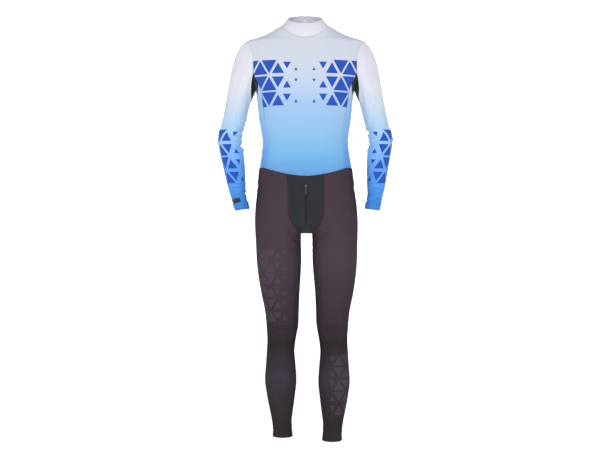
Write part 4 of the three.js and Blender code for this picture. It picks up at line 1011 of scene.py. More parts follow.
@dataclass
class Panel:
    """One cut piece of cloth, made up as a thin closed wall.

    The outer face is the skin, sunk a little at each sewn edge so that the seam shows as a valley
    between two soft banks. The inner face lies one thickness inside it. A hem is doubled and
    rounded over, and a turned edge is rounded over.
    """

    name: str
    skin: Skin
    uv: Array
    finish: Finishes
    edges: tuple[Edge, Edge, Edge, Edge]
    thickness: float = 1.0
    hem_depth: float = 20.0
    keep: Optional[Array] = None
    thread: Finishes = Finishes.FADED_THREAD
    group: str = "top_stitching"
    drop: float = 0.36
    slanted: bool = False

    def distances(self) -> list[Array]:
        """How far each point lies from the left, right, first and last edge, along the grid."""
        across, up = arc(self.skin.points, 1), arc(self.skin.points, 0)
        return [across, across[:, -1:] - across, up, up[-1:] - up]

    def faces_of(self, outer: Skin, wall: Array) -> tuple[Array, Array]:
        """Joins the outer and inner grids of the kept cells into a closed shell.

        Args:
            outer: the outer face.
            wall: the wall's thickness at each point.
        Returns:
            Corners in millimetres, and four-sided faces that point outwards.
        """
        rows, columns = wall.shape
        inner = outer.points - outer.normals * wall[..., None]
        vertices = np.concatenate([outer.points.reshape(-1, 3), inner.reshape(-1, 3)])
        keep = np.ones((rows - 1, columns - 1), bool) if self.keep is None else self.keep
        padded = np.pad(keep, 1)
        index = np.arange(rows * columns).reshape(rows, columns)
        a, b, c, d = index[:-1, :-1], index[:-1, 1:], index[1:, 1:], index[1:, :-1]
        below = rows * columns
        quads = [np.stack([a, b, c, d], -1)[keep], np.stack([a, d, c, b], -1)[keep] + below]
        rims = (
            (padded[:-2, 1:-1], b, a), (padded[2:, 1:-1], d, c),
            (padded[1:-1, :-2], a, d), (padded[1:-1, 2:], c, b),
        )
        for beside, start, end in rims:
            rim = keep & ~beside
            quads.append(np.stack([start, end, end + below, start + below], -1)[rim])
        faces = np.concatenate(quads)
        first = vertices[quads[0]]
        facing = np.cross(first[:, 1] - first[:, 0], first[:, 3] - first[:, 0])
        outwards = (facing * outer.normals.reshape(-1, 3)[quads[0][:, 0]]).sum()
        return vertices, faces if outwards > 0 else faces[:, ::-1]

    def shaped(self) -> tuple[Skin, Array]:
        """Sinks the seams and doubles the hems.

        Returns:
            The outer face, and the wall's thickness at each point.
        """
        fall = np.zeros(self.skin.points.shape[:2])
        wall = np.full(fall.shape, self.thickness)
        for edge, away in zip(self.edges, self.distances()):
            if edge is Edge.SEWN:
                bank = BANK * np.exp(-(((away - BANK_AT) / BANK_HALF) ** 2))
                fall += self.drop * np.exp(-((away / SEAM_HALF) ** 2)) - bank
            if edge is Edge.HEM:
                doubled = 1 / (1 + np.exp((away - self.hem_depth) / HEM_SOFT))
                wall = wall + HEM_THICKER * doubled
                fall -= HEM_PROUD * doubled
                fall += GROOVE * np.exp(-(((away - self.hem_depth + GROOVE_AT) / GROOVE_HALF) ** 2))
            if edge in (Edge.HEM, Edge.TURNED):
                half = wall / 2
                short = clamped(half - away, 0.0, 10.0)
                round_off = half - np.sqrt(np.maximum(half**2 - short**2, 0))
                fall += round_off
                wall = wall - 2 * round_off * ROUNDED
        return self.skin.lifted(-fall), wall

    def build(self, sewing: Sewing) -> bpy.types.Object:
        """Makes the piece, its stitches and its declaration as a sheet.

        Args:
            sewing: gathers the rows of stitches.
        Returns:
            The piece.
        """
        outer, wall = self.shaped()
        vertices, faces = self.faces_of(outer, wall)
        piece = make_object(f"{self.name}_cloth", to_frame(vertices), [faces])
        set_uv(piece, np.concatenate([self.uv.reshape(-1, 2)] * 2))
        finished(piece, self.finish)
        for side, edge in enumerate(self.edges):
            turned = from_edge(outer, side)
            if edge is Edge.SEWN:
                sewing.add(self.group, self.thread, line_at(turned, Sewing.FROM_SEAM))
            if edge is Edge.HEM:
                for off in GROOVE_ROWS:
                    sewing.add(self.group, self.thread, line_at(turned, self.hem_depth - off))
        self.declare()
        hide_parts(self.name)
        return piece

    def declare(self) -> None:
        """States the cut: the worn widest row and longest column, less the cloth's stretch. Where the
        sides slant, as on a gusset, the middle column counts."""
        points = self.skin.points
        columns = arc(points, 0)[-1]
        wide = arc(points, 1)[:, -1].max() * MM / STRETCH_ROUND
        long = (columns[len(columns) // 2] if self.slanted else columns.max()) * MM / STRETCH_LONG
        cells = points[1:, 1:] - points[:-1, :-1], points[1:, :-1] - points[:-1, 1:]
        area = np.linalg.norm(np.cross(*cells), axis=-1)
        if self.keep is not None:
            area = area * self.keep
        flat_area = area.sum() / 2 * MM**2 / (STRETCH_ROUND * STRETCH_LONG)
        area_given = float(min(flat_area, wide * long))
        LOG.info("%s: flat %.3f by %.3f m, %.4f m2", self.name, wide, long, area_given)


def swell(points: Array, depth: float) -> Array:
    """A slow unevenness of the cloth: three sine waves of unlike lengths across each other."""
    x, y, z = points[..., 0], points[..., 1], points[..., 2]
    waves = np.sin(x / 23 + z / 31) + np.sin(z / 19 - y / 27 + 1.7) + np.sin((x + y) / 37 + z / 71 + 0.6)
    return depth * waves / 3


def torso_point(angle: Array, height: Array) -> Array:
    """A point of the top: an oval of half width and depth that change with height. angle is 0 at
    centre front and a quarter turn at the wearer's left."""
    half_width, front, back, mid, power = TORSO(height)
    ahead = oval(np.cos(angle), power)
    depth = np.where(ahead > 0, front + mid, back - mid)
    x = half_width * oval(np.sin(angle), power)
    return np.stack(np.broadcast_arrays(x, mid - depth * ahead, height), -1)


def armhole_place(turn: Array) -> tuple[Array, Array]:
    """The angle and height on the top of the armhole's oval, seen from the side. turn is 0 under
    the arm and positive towards the front."""
    height = ARMHOLE_CENTRE - ARMHOLE_HALF_HEIGHT * np.cos(turn)
    ahead = ARMHOLE_HALF_DEPTH * np.sin(turn)
    _, front, back, mid, power = TORSO(height)
    share = np.abs(ahead) / np.where(ahead > 0, front + mid, back - mid)
    from_front = np.arccos(share ** (power / 2))
    return np.where(ahead > 0, from_front, np.pi - from_front), height


JOIN_ANGLE, JOIN_HEIGHT = (float(value) for value in armhole_place(np.array(GUSSET_TURN)))
BACK_JOIN_ANGLE = float(armhole_place(np.array(-GUSSET_TURN))[0])
TIP_HEIGHT = ARMHOLE_CENTRE + ARMHOLE_HALF_HEIGHT


def waist_fall(x: Array) -> Array:
    """How far the waist seam hangs below its side height, at a distance from the centre front."""
    return WAIST_FALL * (1 - clamped(np.abs(x) / WAIST_DIP_HALF) ** WAIST_DIP_POWER)


def row_height(level: Array, at_waist: Array, at_neck: Array) -> Array:
    """The height of a row that is at level on the side, which shares the dip at its foot and at its
    neck with the rows between.

    Args:
        level: the row's height at the side seam.
        at_waist: the angle of its column at the waist.
        at_neck: the angle of its column at the neck.
    Returns:
        The row's height in that column.
    """
    low = np.maximum(1 - (level - WAIST_SIDE) / (JOIN_HEIGHT - WAIST_SIDE), 0)
    high = np.maximum((level - NECK_DIP_STARTS) / (NECK_SIDE - NECK_DIP_STARTS), 0)
    side = torso_point(at_waist, np.full(np.shape(at_waist), WAIST_SIDE))[..., 0]
    fall = np.where(np.cos(at_waist) > 0, waist_fall(side), 0)
    return level - fall * low + (NECKLINE(np.degrees(at_neck))[0] - NECK_SIDE) * high


def panel_edge(level: Array, behind: bool) -> Array:
    """The outline angle of the front or back at each row, from its own centre line: the side seam,
    then the armhole, then the shoulder.

    Args:
        level: the rows' heights at the side.
        behind: true for the back.
    Returns:
        The angles.
    """
    share = (level - WAIST_SIDE) / (JOIN_HEIGHT - WAIST_SIDE)
    top = np.pi - BACK_JOIN_ANGLE if behind else JOIN_ANGLE
    seam = SIDE_SEAM_AT_WAIST * (1 - share) + top * share
    turn = np.arccos(clamped((ARMHOLE_CENTRE - level) / ARMHOLE_HALF_HEIGHT, -1, 1))
    angle = armhole_place(-turn if behind else turn)[0]
    hole = np.pi - angle if behind else angle
    return np.where(level >= TIP_HEIGHT, np.pi / 2, np.where(level >= JOIN_HEIGHT, hole, seam))


def calm_edge(level: Array, edge: Array, behind: bool) -> Array:
    """A calmer outline angle for a panel's inner columns. The armhole closes in fast at the shoulder's
    tip, and columns that followed it all the way in would lean over in rows far wider than tall.

    Args:
        level: the rows' heights at the side.
        edge: the outline angles.
        behind: true for the back.
    Returns:
        The angles, the outline's own up to the middle of the armhole.
    """
    middle = float(panel_edge(np.array(ARMHOLE_CENTRE), behind))
    share = clamped((level - ARMHOLE_CENTRE) / ARMHOLE_HALF_HEIGHT)
    return np.where(level > ARMHOLE_CENTRE, middle + (np.pi / 2 - middle) * share**CALM_POWER, edge)


def torso_skin(angle: Array, height: Array) -> Skin:
    """The top's surface with its normals."""
    return skin_of(torso_point, angle, height, TURN_STEP, HEIGHT_STEP)


class Top:
    """The stretch top: front, two back halves and two side panels, from waist seam to neck."""

    CLOTH, SWELL = 1.0, 0.45
    SIDE_ARC, HALF_ARC = 150.0, 215.0
    # Rows beside the armhole, and the spacing of those on the shoulder.
    HOLE_ROWS, SHOULDER_SPACING = 44, 1.7

    def __init__(self, sewing: Sewing) -> None:
        """Works out the rows, which meet the armhole at even turns.

        Args:
            sewing: gathers the stitches.
        """
        self.sewing = sewing
        low = WAIST_SIDE + (JOIN_HEIGHT - WAIST_SIDE) * graded(JOIN_HEIGHT - WAIST_SIDE, ends=(True, False))
        turns = np.linspace(GUSSET_TURN, np.pi, self.HOLE_ROWS)[1:]
        hole = ARMHOLE_CENTRE - ARMHOLE_HALF_HEIGHT * np.cos(turns)
        tall = NECK_SIDE - TIP_HEIGHT
        shoulder = TIP_HEIGHT + tall * graded(tall, self.SHOULDER_SPACING)[1:]
        self.levels = np.concatenate([low, hole, shoulder])[:, None]

    def creased(self, skin: Skin, angle: Array) -> Skin:
        """Adds the top's creases and its slow swell."""
        rise = TOP_CREASES.rise(np.degrees(angle), skin.points[..., 2], TOP_DEGREE, FULL_TURN)
        return skin.lifted(rise + swell(skin.points, self.SWELL))

    def panel(self, name: str, skin: Skin, finish: Finishes, edges: tuple[Edge, ...] = ALL_SEWN) -> None:
        """Makes one piece of the top from its creased skin."""
        uv = centred_uv(skin.points, skin.points[..., 2])
        Panel(name, skin, uv, finish, edges, self.CLOTH).build(self.sewing)

    def half(self, shares: Array, behind: bool) -> tuple[Skin, Array]:
        """One side of the front or back, on the wearer's left.

        Args:
            shares: columns from 0 on the centre line to 1 on the panel's edge.
            behind: true for the back, which stops at the zip.
        Returns:
            The skin without creases, and the angle of each point.
        """
        facing = (lambda angle: np.pi - angle) if behind else (lambda angle: angle)
        limit = panel_edge(self.levels, behind)
        height = row_height(self.levels, facing(shares * SIDE_SEAM_AT_WAIST), facing(shares * np.pi / 2))
        zip_edge = 0.0
        if behind:
            apart = torso_point(np.pi + TURN_STEP, height) - torso_point(np.pi - TURN_STEP, height)
            zip_edge = 2 * TURN_STEP * (CHAIN_HALF + CHAIN_GAP) / np.linalg.norm(apart, axis=-1)
        calm = calm_edge(self.levels, limit, behind)
        angle = facing(zip_edge + shares * (calm - zip_edge) + (limit - calm) * shares**EDGE_POWER)
        return torso_skin(angle, height), angle

    def front(self) -> None:
        """The front, in one piece."""
        shares = graded(self.HALF_ARC, ends=(False, True))
        shares = np.concatenate([-shares[:0:-1], shares])[None, :]
        skin, angle = self.half(np.abs(shares), False)
        side = np.where(shares < 0, -1.0, 1.0)[..., None]
        flip = np.where(np.arange(3) == 0, side, 1.0)
        skin = self.creased(Skin(skin.points * flip, skin.normals * flip), angle * side[..., 0])
        self.panel("front_body", skin, Finishes.PRINTED_FRONT)

    def back(self, left: bool) -> None:
        """One back half, from the zip to the armhole."""
        shares = graded(self.HALF_ARC)[None, :]
        skin, angle = self.half(shares, True)
        skin = self.creased(skin if left else skin.mirrored(), angle if left else -angle)
        edges = (Edge.TURNED, Edge.SEWN, Edge.SEWN, Edge.SEWN)
        self.panel(sided("back_body", left), skin, Finishes.FADED_KNIT, edges)

    @staticmethod
    def side_place(level: Array, share: Array) -> tuple[Array, Array]:
        """The side panel and the gusset's body part, whose rows bow down to follow the armhole.

        Args:
            level: the rows' heights at the seam.
            share: columns from -1 on the front seam to 1 on the back one.
        Returns:
            The angle and height of each point.
        """
        join_angle, join_height = armhole_place(-GUSSET_TURN * share)
        front_edge = panel_edge(level, False)
        back_edge = np.pi - panel_edge(level, True)
        t = (share + 1) / 2
        up = (level - WAIST_SIDE) / (JOIN_HEIGHT - WAIST_SIDE)
        at_waist = SIDE_SEAM_AT_WAIST * (1 - t) + (np.pi - SIDE_SEAM_AT_WAIST) * t
        bow = up**GUSSET_BOW
        seam = front_edge * (1 - t) + back_edge * t
        angle = seam * (1 - bow) + join_angle * bow
        height = row_height(level, at_waist, np.full_like(at_waist, np.pi / 2))
        return angle, height - (JOIN_HEIGHT - join_height) * bow

    def side(self, left: bool) -> None:
        """One side panel, from the waist seam to the gusset."""
        tall = GUSSET_LOW - WAIST_SIDE
        levels = (WAIST_SIDE + tall * graded(tall))[:, None]
        share = (2 * graded(self.SIDE_ARC) - 1)[None, :]
        angle, height = self.side_place(levels, share)
        skin = torso_skin(angle, height)
        skin = self.creased(skin if left else skin.mirrored(), angle if left else -angle)
        self.panel(sided("side_panel", left), skin, Finishes.SIDE_KNIT)

    def build(self) -> None:
        """All the pieces of the top."""
        self.front()
        for left in (True, False):
            self.back(left)
            self.side(left)


def arm_ring(turn: Array, height: Array) -> Array:
    """A point of the oval section square to the sleeve's centre line at a height. The sections of
    the cuff lose the line's forward slope on the way down, so that the cuff ends level."""
    x, y, half_width, half_depth = ARM(height)
    above, below = ARM(height + 1), ARM(height - 1)
    sloped = 1 - clamped((CUFF_SEAM - height) / (CUFF_SEAM - CUFF_END))
    forward = (above[1] - below[1]) * sloped
    up = unit(np.stack([above[0] - below[0], forward, np.full(np.shape(height), 2.0)], -1))
    outward = unit(np.cross([0.0, 1.0, 0.0], up))
    behind = np.cross(up, outward)
    centre = np.stack(np.broadcast_arrays(x, y, height), -1)
    sideways = outward * (half_width * np.cos(turn))[..., None]
    return centre - sideways - behind * (half_depth * np.sin(turn))[..., None]


# Which way the sleeve leaves the armhole under the arm and at the shoulder, and how much less far
# it keeps to that at the shoulder.
LEAVES_BELOW, LEAVES_ABOVE = np.array([0.32, 0, -0.95]), np.array([0.87, 0, -0.49])
SHORTER_ABOVE = 0.22


def sleeve_point(turn: Array, v: Array) -> Array:
    """A point of the sleeve. turn is 0 towards the body and positive to the front. v runs 0 to 1 over
    the cap, on cubic curves from the armhole to the first square section, and 1 to 2 down to the
    cuff's end."""
    lower = arm_ring(turn, CAP_END - np.maximum(v - 1, 0) * (CAP_END - CUFF_END))
    t = np.minimum(v, 1)[..., None]
    start = torso_point(*armhole_place(turn))
    full = np.full(np.shape(turn), CAP_END)
    end = arm_ring(turn, full)
    length = np.linalg.norm(end - start, axis=-1, keepdims=True)
    top_share = ((1 - np.cos(turn)) / 2)[..., None]
    leaving = unit(LEAVES_BELOW * (1 - top_share) + LEAVES_ABOVE * top_share)
    leaving = leaving * (1 - SHORTER_ABOVE * top_share)
    arriving = unit(arm_ring(turn, full - 1) - end)
    cap = (
        start * (1 + 2 * t) * (1 - t) ** 2
        + leaving * t * (1 - t) ** 2 * length
        + end * t * t * (3 - 2 * t)
        + arriving * t * t * (t - 1) * length
    )
    return np.where(v[..., None] >= 1, lower, cap)


def sleeve_v(height: Array) -> Array:
    """The sleeve's second parameter at a height below the cap."""
    return 1 + (CAP_END - height) / (CAP_END - CUFF_END)


class Sleeves:
    """Set-in sleeves, cuffs, the underarm gussets and the cuff patch."""

    CLOTH, SWELL = 1.0, 0.4
    FOLDS_START = 0.3
    CAP_LENGTH = 175.0
    ROUND, CUFF_ROUND, GUSSET_ROUND = 268.0, 190.0, 110.0
    # The spacing of columns on cuffs and gussets.
    FINE = 2.6
    HEM_DEPTH = 15.0
    # Where the gusset ends along the cap, how it narrows, and its least half turn.
    GUSSET_END, NARROWING, POINT_TURN = 0.62, 0.8, np.radians(0.4)
    # Steps from the gusset's fold, and how much of the other side's normal each row takes.
    FOLD_BLEND = ((-2, 0.25), (-1, 0.4), (0, 0.5), (1, 0.4), (2, 0.25))
    # How far the gusset's creases keep from its ends in millimetres, and from its sides as a share.
    CALM_END, CALM_SIDE = 12.0, 0.25

    def __init__(self, sewing: Sewing) -> None:
        """Keeps where the stitches go."""
        self.sewing = sewing

    def surface(self, turn: Array, v: Array, left: bool) -> Skin:
        """The sleeve with its large folds and its creases, on the wearer's left.

        Args:
            turn: the angle round the sleeve.
            v: the place along it.
            left: true for the left sleeve's own creases.
        Returns:
            The skin, still on the left side.
        """
        turn, v = np.broadcast_arrays(turn, v)
        plain = skin_of(sleeve_point, turn, v, TURN_STEP, 0.002, -1.0)
        z = plain.points[..., 2]
        per_degree = np.radians(1) * ARM(z)[2]
        fade = np.minimum(v / self.FOLDS_START, 1)
        rise = SLEEVE_FOLDS.rise(np.degrees(turn), z, per_degree, FULL_TURN)
        rise = rise + SLEEVE_CREASES[0 if left else 1].rise(np.degrees(turn), z, per_degree, FULL_TURN)
        return plain.lifted(fade * (rise + swell(plain.points, self.SWELL)))

    def placed(self, skin: Skin, left: bool) -> Skin:
        """The left sleeve as it is, or the right one, whose forearm is drawn in to the body."""
        if left:
            return skin
        share = np.maximum((CUFF_IN_STARTS - skin.points[..., 2]) / (CUFF_IN_STARTS - CUFF_END), 0)
        points = skin.points.copy()
        points[..., 0] -= RIGHT_CUFF_IN * share * np.minimum(share, 1)
        return Skin(points, skin.normals).mirrored()

    def gusset_turn(self, v: Array) -> Array:
        """The gusset's half turn on the sleeve, which narrows to a point."""
        left = clamped(1 - v / self.GUSSET_END)
        return GUSSET_TURN * left**self.NARROWING

    def uv(self, turn: Array, skin: Skin) -> Array:
        """Millimetres round the sleeve from its outer line, and height."""
        z = skin.points[..., 2]
        return np.stack([(turn - np.pi) * ARM(z)[2], z], -1)

    def sleeve(self, left: bool) -> None:
        """One sleeve, from the armhole to the cuff seam, joined along its underside."""
        tall = CAP_END - CUFF_SEAM
        low = CAP_END - tall * graded(tall, ends=(False, True))[1:]
        v = np.concatenate([graded(self.CAP_LENGTH, ends=(True, False)), sleeve_v(low)])[:, None]
        edge = self.gusset_turn(v)
        turn = edge + (2 * np.pi - 2 * edge) * graded(self.ROUND)[None, :]
        skin = self.placed(self.surface(turn, v, left), left)
        name = sided("sleeve", left)
        panel = Panel(name, skin, self.uv(turn, skin), Finishes.PRINTED_SLEEVE, ALL_SEWN, self.CLOTH)
        panel.build(self.sewing)

    def cuff(self, left: bool) -> None:
        """One cuff, from its seam to its turned hem."""
        tall = CUFF_SEAM - CUFF_END
        v = sleeve_v(CUFF_SEAM - tall * graded(tall, 2.4))[:, None]
        turn = (2 * np.pi * graded(self.CUFF_ROUND, self.FINE))[None, :]
        skin = self.placed(self.surface(turn, v, left), left)
        turn = np.broadcast_to(turn, skin.points.shape[:2])
        name, uv = sided("cuff", left), self.uv(turn, skin)
        edges = (Edge.SEWN, Edge.SEWN, Edge.SEWN, Edge.HEM)
        panel = Panel(name, skin, uv, Finishes.BLUE_KNIT, edges, self.CLOTH, self.HEM_DEPTH)
        panel.build(self.sewing)

    def gusset(self, left: bool) -> None:
        """One diamond gusset, folded over the armhole from the side panel to the sleeve."""
        share = (2 * graded(self.GUSSET_ROUND, self.FINE) - 1)[None, :]
        tall = JOIN_HEIGHT - GUSSET_LOW
        levels = (GUSSET_LOW + tall * graded(tall, self.FINE, (True, False)))[:-1, None]
        angle, height = Top.side_place(levels, share)
        on_body = torso_skin(angle, height)
        rise = TOP_CREASES.rise(np.degrees(angle), height, TOP_DEGREE, FULL_TURN)
        on_body = on_body.lifted(rise)
        v = (self.GUSSET_END * graded(self.GUSSET_ROUND, self.FINE, (False, True)))[:, None]
        turn = -share * np.maximum(self.gusset_turn(v), self.POINT_TURN)
        on_sleeve = self.surface(turn, v, left)
        points = np.concatenate([on_body.points, on_sleeve.points])
        normals = np.concatenate([on_body.normals, on_sleeve.normals])
        fold = len(on_body.points)
        for step, weight in self.FOLD_BLEND:
            row = fold + step
            other = on_sleeve.normals[0] if row < fold else on_body.normals[-1]
            normals[row] = normals[row] * (1 - weight) + other * weight
        skin = Skin(points, unit(normals))
        down = arc(points, 0)
        away = np.minimum(down, down[-1:] - down)
        inside = clamped(np.minimum(away / self.CALM_END, (1 - np.abs(share)) / self.CALM_SIDE))
        skin = skin.lifted(inside * GUSSET_CREASES.rise(share * 40, down - down[fold], 1.0))
        skin = skin if left else skin.mirrored()
        uv = centred_uv(points, down)
        panel = Panel(
            sided("underarm_gusset", left), skin, uv, Finishes.BLACK_MESH, ALL_SEWN, self.CLOTH,
        )
        panel.thread, panel.group, panel.slanted = Finishes.DARK_THREAD, "gusset_stitching", True
        panel.build(self.sewing)

    def patch(self) -> None:
        """A plain patch with rounded corners on the wearer's right cuff."""
        turn_middle, height, width, tall, thick = np.radians(118), 916.0, 36.0, 13.0, 0.8
        side = np.linspace(-1, 1, 25)
        s, t = np.meshgrid(side, side[::2])
        corner = 1 - 0.06 * (np.abs(s * t)) ** 6
        half_depth = ARM(np.array(height))[3]
        turn = turn_middle + s * corner * width / 2 / half_depth
        v = sleeve_v(height - t * corner * tall / 2)
        skin = self.placed(self.surface(turn, v, False), False).lifted(thick + 0.35)
        uv = np.stack([s * width / 2, t * tall / 2], -1)
        panel = Panel("cuff_patch", skin, uv, Finishes.PATCH, (Edge.TURNED,) * 4, thick)
        vertices, faces = panel.faces_of(*panel.shaped())
        piece = finished(make_object("cuff_patch_raised", to_frame(vertices), [faces]), Finishes.PATCH)
        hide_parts("cuff_patch")

    def build(self) -> None:
        """Both arms and the patch."""
        for left in (True, False):
            self.sleeve(left)
            self.cuff(left)
            self.gusset(left)
        self.patch()


class Collar:
    """The mock turtleneck: a doubled band that stands on the neckline, open behind for the zip."""

    CLOTH = 1.8
    FRONT, SIDE, BACK, POWER = 1512.0, 1539.0, 1556.0, 1.2
    HALF_WIDTH, AHEAD, BEHIND = 58.0, 50.0, 68.0
    ROUND, TALL = 420.0, 46.0
    # The band's foot above the neckline, as a share of its height, and its puff in millimetres.
    FOOT, PUFF = 0.008, 0.5

    def point(self, angle: Array, rise: Array) -> Array:
        """A straight line from the neckline (rise 0) to the top edge's oval (rise 1)."""
        mid = TORSO(NECK_SIDE)[3]
        base = torso_point(angle, NECKLINE(np.degrees(np.abs(angle)))[0])
        ahead = mid - base[..., 1]
        reach = np.where(ahead > 0, self.AHEAD, self.BEHIND)
        around = np.arctan2(base[..., 0] / self.HALF_WIDTH, ahead / reach)
        cos = np.cos(around)
        depth = np.where(cos > 0, self.AHEAD + mid, self.BEHIND - mid)
        far = np.where(cos > 0, self.FRONT, self.BACK)
        top = np.stack([
            self.HALF_WIDTH * np.sin(around),
            mid - depth * cos,
            self.SIDE + (far - self.SIDE) * np.abs(cos) ** self.POWER,
        ], -1)
        return base + (top - base) * rise[..., None]

    def skin(self, angle: Array, rise: Array) -> Skin:
        """The collar's surface, with level normals so that its foot stays above the neck seam."""
        slanted = skin_of(self.point, angle, rise, TURN_STEP, 0.02)
        return Skin(slanted.points, unit(slanted.normals * [1.0, 1.0, 0.0]))

    def build(self, sewing: Sewing) -> None:
        """The band, with its turned top edge and a row of topstitching above the neck seam."""
        _, _, back, mid, _ = TORSO(NECKLINE(180.0)[0])
        limit = np.pi - (CHAIN_HALF + CHAIN_GAP) / (back - mid)
        angle = (limit * (2 * graded(self.ROUND, 3.0) - 1))[None, :]
        rise = (self.FOOT + (1 - self.FOOT) * graded(self.TALL, 2.2))[:, None]
        skin = self.skin(angle, rise)
        lift = COLLAR_CREASES.rise(np.degrees(angle), skin.points[..., 2], COLLAR_DEGREE, FULL_TURN)
        puff = self.PUFF * np.sin(np.pi * rise)
        skin = skin.lifted(clamped(4 * rise) * (lift + puff))
        uv = centred_uv(skin.points, skin.points[..., 2])
        edges = (Edge.TURNED, Edge.TURNED, Edge.SEWN, Edge.TURNED)
        panel = Panel("collar", skin, uv, Finishes.WHITE_KNIT, edges, self.CLOTH, drop=0.18)
        panel.build(sewing)


class Tights:
    """Close tights: front and back thighs and lower legs of both sides."""

    CLOTH, SWELL = 1.3, 0.5
    ROUND_HIGH, ROUND_LOW = 255.0, 170.0
    HEM_DEPTH = 18.0

    def __init__(self, sewing: Sewing) -> None:
        """Keeps where the stitches go."""
        self.sewing = sewing

    @staticmethod
    def oval_of(height: Array) -> tuple[Array, ...]:
        """One leg's oval at a height. Above the crotch its inner side would pass the other leg's, and
        the cloth follows it only as far as the fly panel or the centre-back seam.

        Args:
            height: the height.
        Returns:
            centre, inner reach, outer reach, front, back, mid and power.
        """
        inner, outer, front, back, mid, power = LEG(height)
        low = LEG(CROTCH)
        opening = (1 - (1 - clamped((height - CROTCH) / CURVE_HEIGHT)) ** CURVE_POWER) ** (1 / CURVE_POWER)
        share = np.maximum(1 - opening**power, 0) ** (1 / power)
        spare = clamped((WAIST_SIDE - height) / (WAIST_SIDE - CURVE_TOP), 0, 1)
        reach_above = (low[1] - low[0]) / 2 + INNER_SPREAD * (height - CROTCH)
        below = height <= CROTCH
        centre = np.where(below, (inner + outer) / 2, GUSSET_HALF * spare + reach_above * share)
        inner_reach = np.where(below, centre - inner, reach_above)
        return centre, inner_reach, outer - centre, front, back, mid, power

    @classmethod
    def point(cls, turn: Array, height: Array) -> Array:
        """A point of the left leg. turn is 0 at the outer side, negative in front."""
        centre, inner_reach, outer_reach, front, back, mid, power = cls.oval_of(height)
        side, behind = oval(np.cos(turn), power), oval(np.sin(turn), power)
        x = centre + np.where(side > 0, outer_reach, inner_reach) * side
        y = mid + np.where(behind > 0, back - mid, front + mid) * behind
        return np.stack(np.broadcast_arrays(x, y, height), -1)

    @classmethod
    def turn_at(cls, x: Array, height: Array) -> Array:
        """The turn at which a leg's oval crosses a distance from the body's centre plane."""
        centre, inner_reach, outer_reach, _, _, _, power = cls.oval_of(height)
        reach = np.where(x >= centre, outer_reach, inner_reach)
        share = clamped(np.abs(x - centre) / reach) ** (power / 2)
        return np.arccos(np.where(x >= centre, share, -share))

    @classmethod
    def place(cls, height: Array, share: Array, front: bool) -> tuple[Array, Array]:
        """The turn and the dipped height of a panel's points.

        Args:
            height: the rows' heights before the waist's dip.
            share: columns from 0 on the outer seam to 1 on the inner edge.
            front: true for the front panels.
        Returns:
            The turn and the height of each point.
        """
        edge = FLY_EDGE(height)[0] if front else np.where(height <= TAIL_END, TAIL_EDGE(height)[0], 0.0)
        limit = np.where(height <= CROTCH, np.pi, cls.turn_at(edge, height))
        turn = (-1 if front else 1) * limit * share
        level = np.broadcast_to(height, turn.shape)
        dip = np.maximum((level - CURVE_TOP) / (WAIST_SIDE - CURVE_TOP), 0)
        fall = waist_fall(cls.point(turn, level)[..., 0]) if front else 0.0
        return turn, level - dip * fall

    @classmethod
    def surface(cls, turn: Array, height: Array, left: bool) -> Skin:
        """The leg with its large folds below the crotch and its creases, on the wearer's left."""
        plain = skin_of(cls.point, turn, height, TURN_STEP, HEIGHT_STEP)
        inner, outer = LEG(height)[:2]
        per_degree = np.radians(1) * (outer - inner) / 2
        large = LEG_FOLDS.rise(np.degrees(turn), height, per_degree, FULL_TURN)
        fine = LEG_CREASES[0 if left else 1].rise(np.degrees(turn), height, per_degree, FULL_TURN)
        return plain.lifted(np.where(height < CROTCH, large, 0) + fine + swell(plain.points, cls.SWELL))

    @staticmethod
    def placed(skin: Skin, left: bool) -> Skin:
        """The left leg, which hangs lower and lower from the knee down, or the right one."""
        if not left:
            return skin.mirrored()
        share = clamped((DROP_STARTS - skin.points[..., 2]) / (DROP_STARTS - HEM_HEIGHT))
        points = skin.points.copy()
        points[..., 2] -= LEFT_LEG_DROP * share
        return Skin(points, skin.normals)

    @staticmethod
    def curve_heights(count: int, top: float = CURVE_TOP) -> Array:
        """Heights at even steps round the crotch curve, from the crotch up to top."""
        end = np.arccos((1 - (top - CROTCH) / CURVE_HEIGHT) ** (CURVE_POWER / 2))
        return CROTCH + CURVE_HEIGHT * (1 - np.cos(np.linspace(0, end, count)) ** (2 / CURVE_POWER))

    def panel(self, name: str, front: bool, left: bool, rows: Array, round_: float, finish: Finishes) -> None:
        """One of the eight panels.

        Args:
            name: its node's name without the side.
            front: true for a front panel.
            left: true for the wearer's left.
            rows: heights from its foot to its top.
            round_: its width along a row, for the columns' spacing.
            finish: its cloth.
        """
        turn, height = self.place(rows[:, None], graded(round_)[None, :], front)
        skin = self.placed(self.surface(turn, height, left), left)
        uv = centred_uv(skin.points, skin.points[..., 2])
        foot = Edge.HEM if rows[0] == HEM_HEIGHT else Edge.SEWN
        edges = (Edge.SEWN, Edge.SEWN, foot, Edge.SEWN)
        panel = Panel(sided(name, left), skin, uv, finish, edges, self.CLOTH, self.HEM_DEPTH)
        panel.thread, panel.group = Finishes.DARK_THREAD, "tights_stitching"
        panel.build(self.sewing)

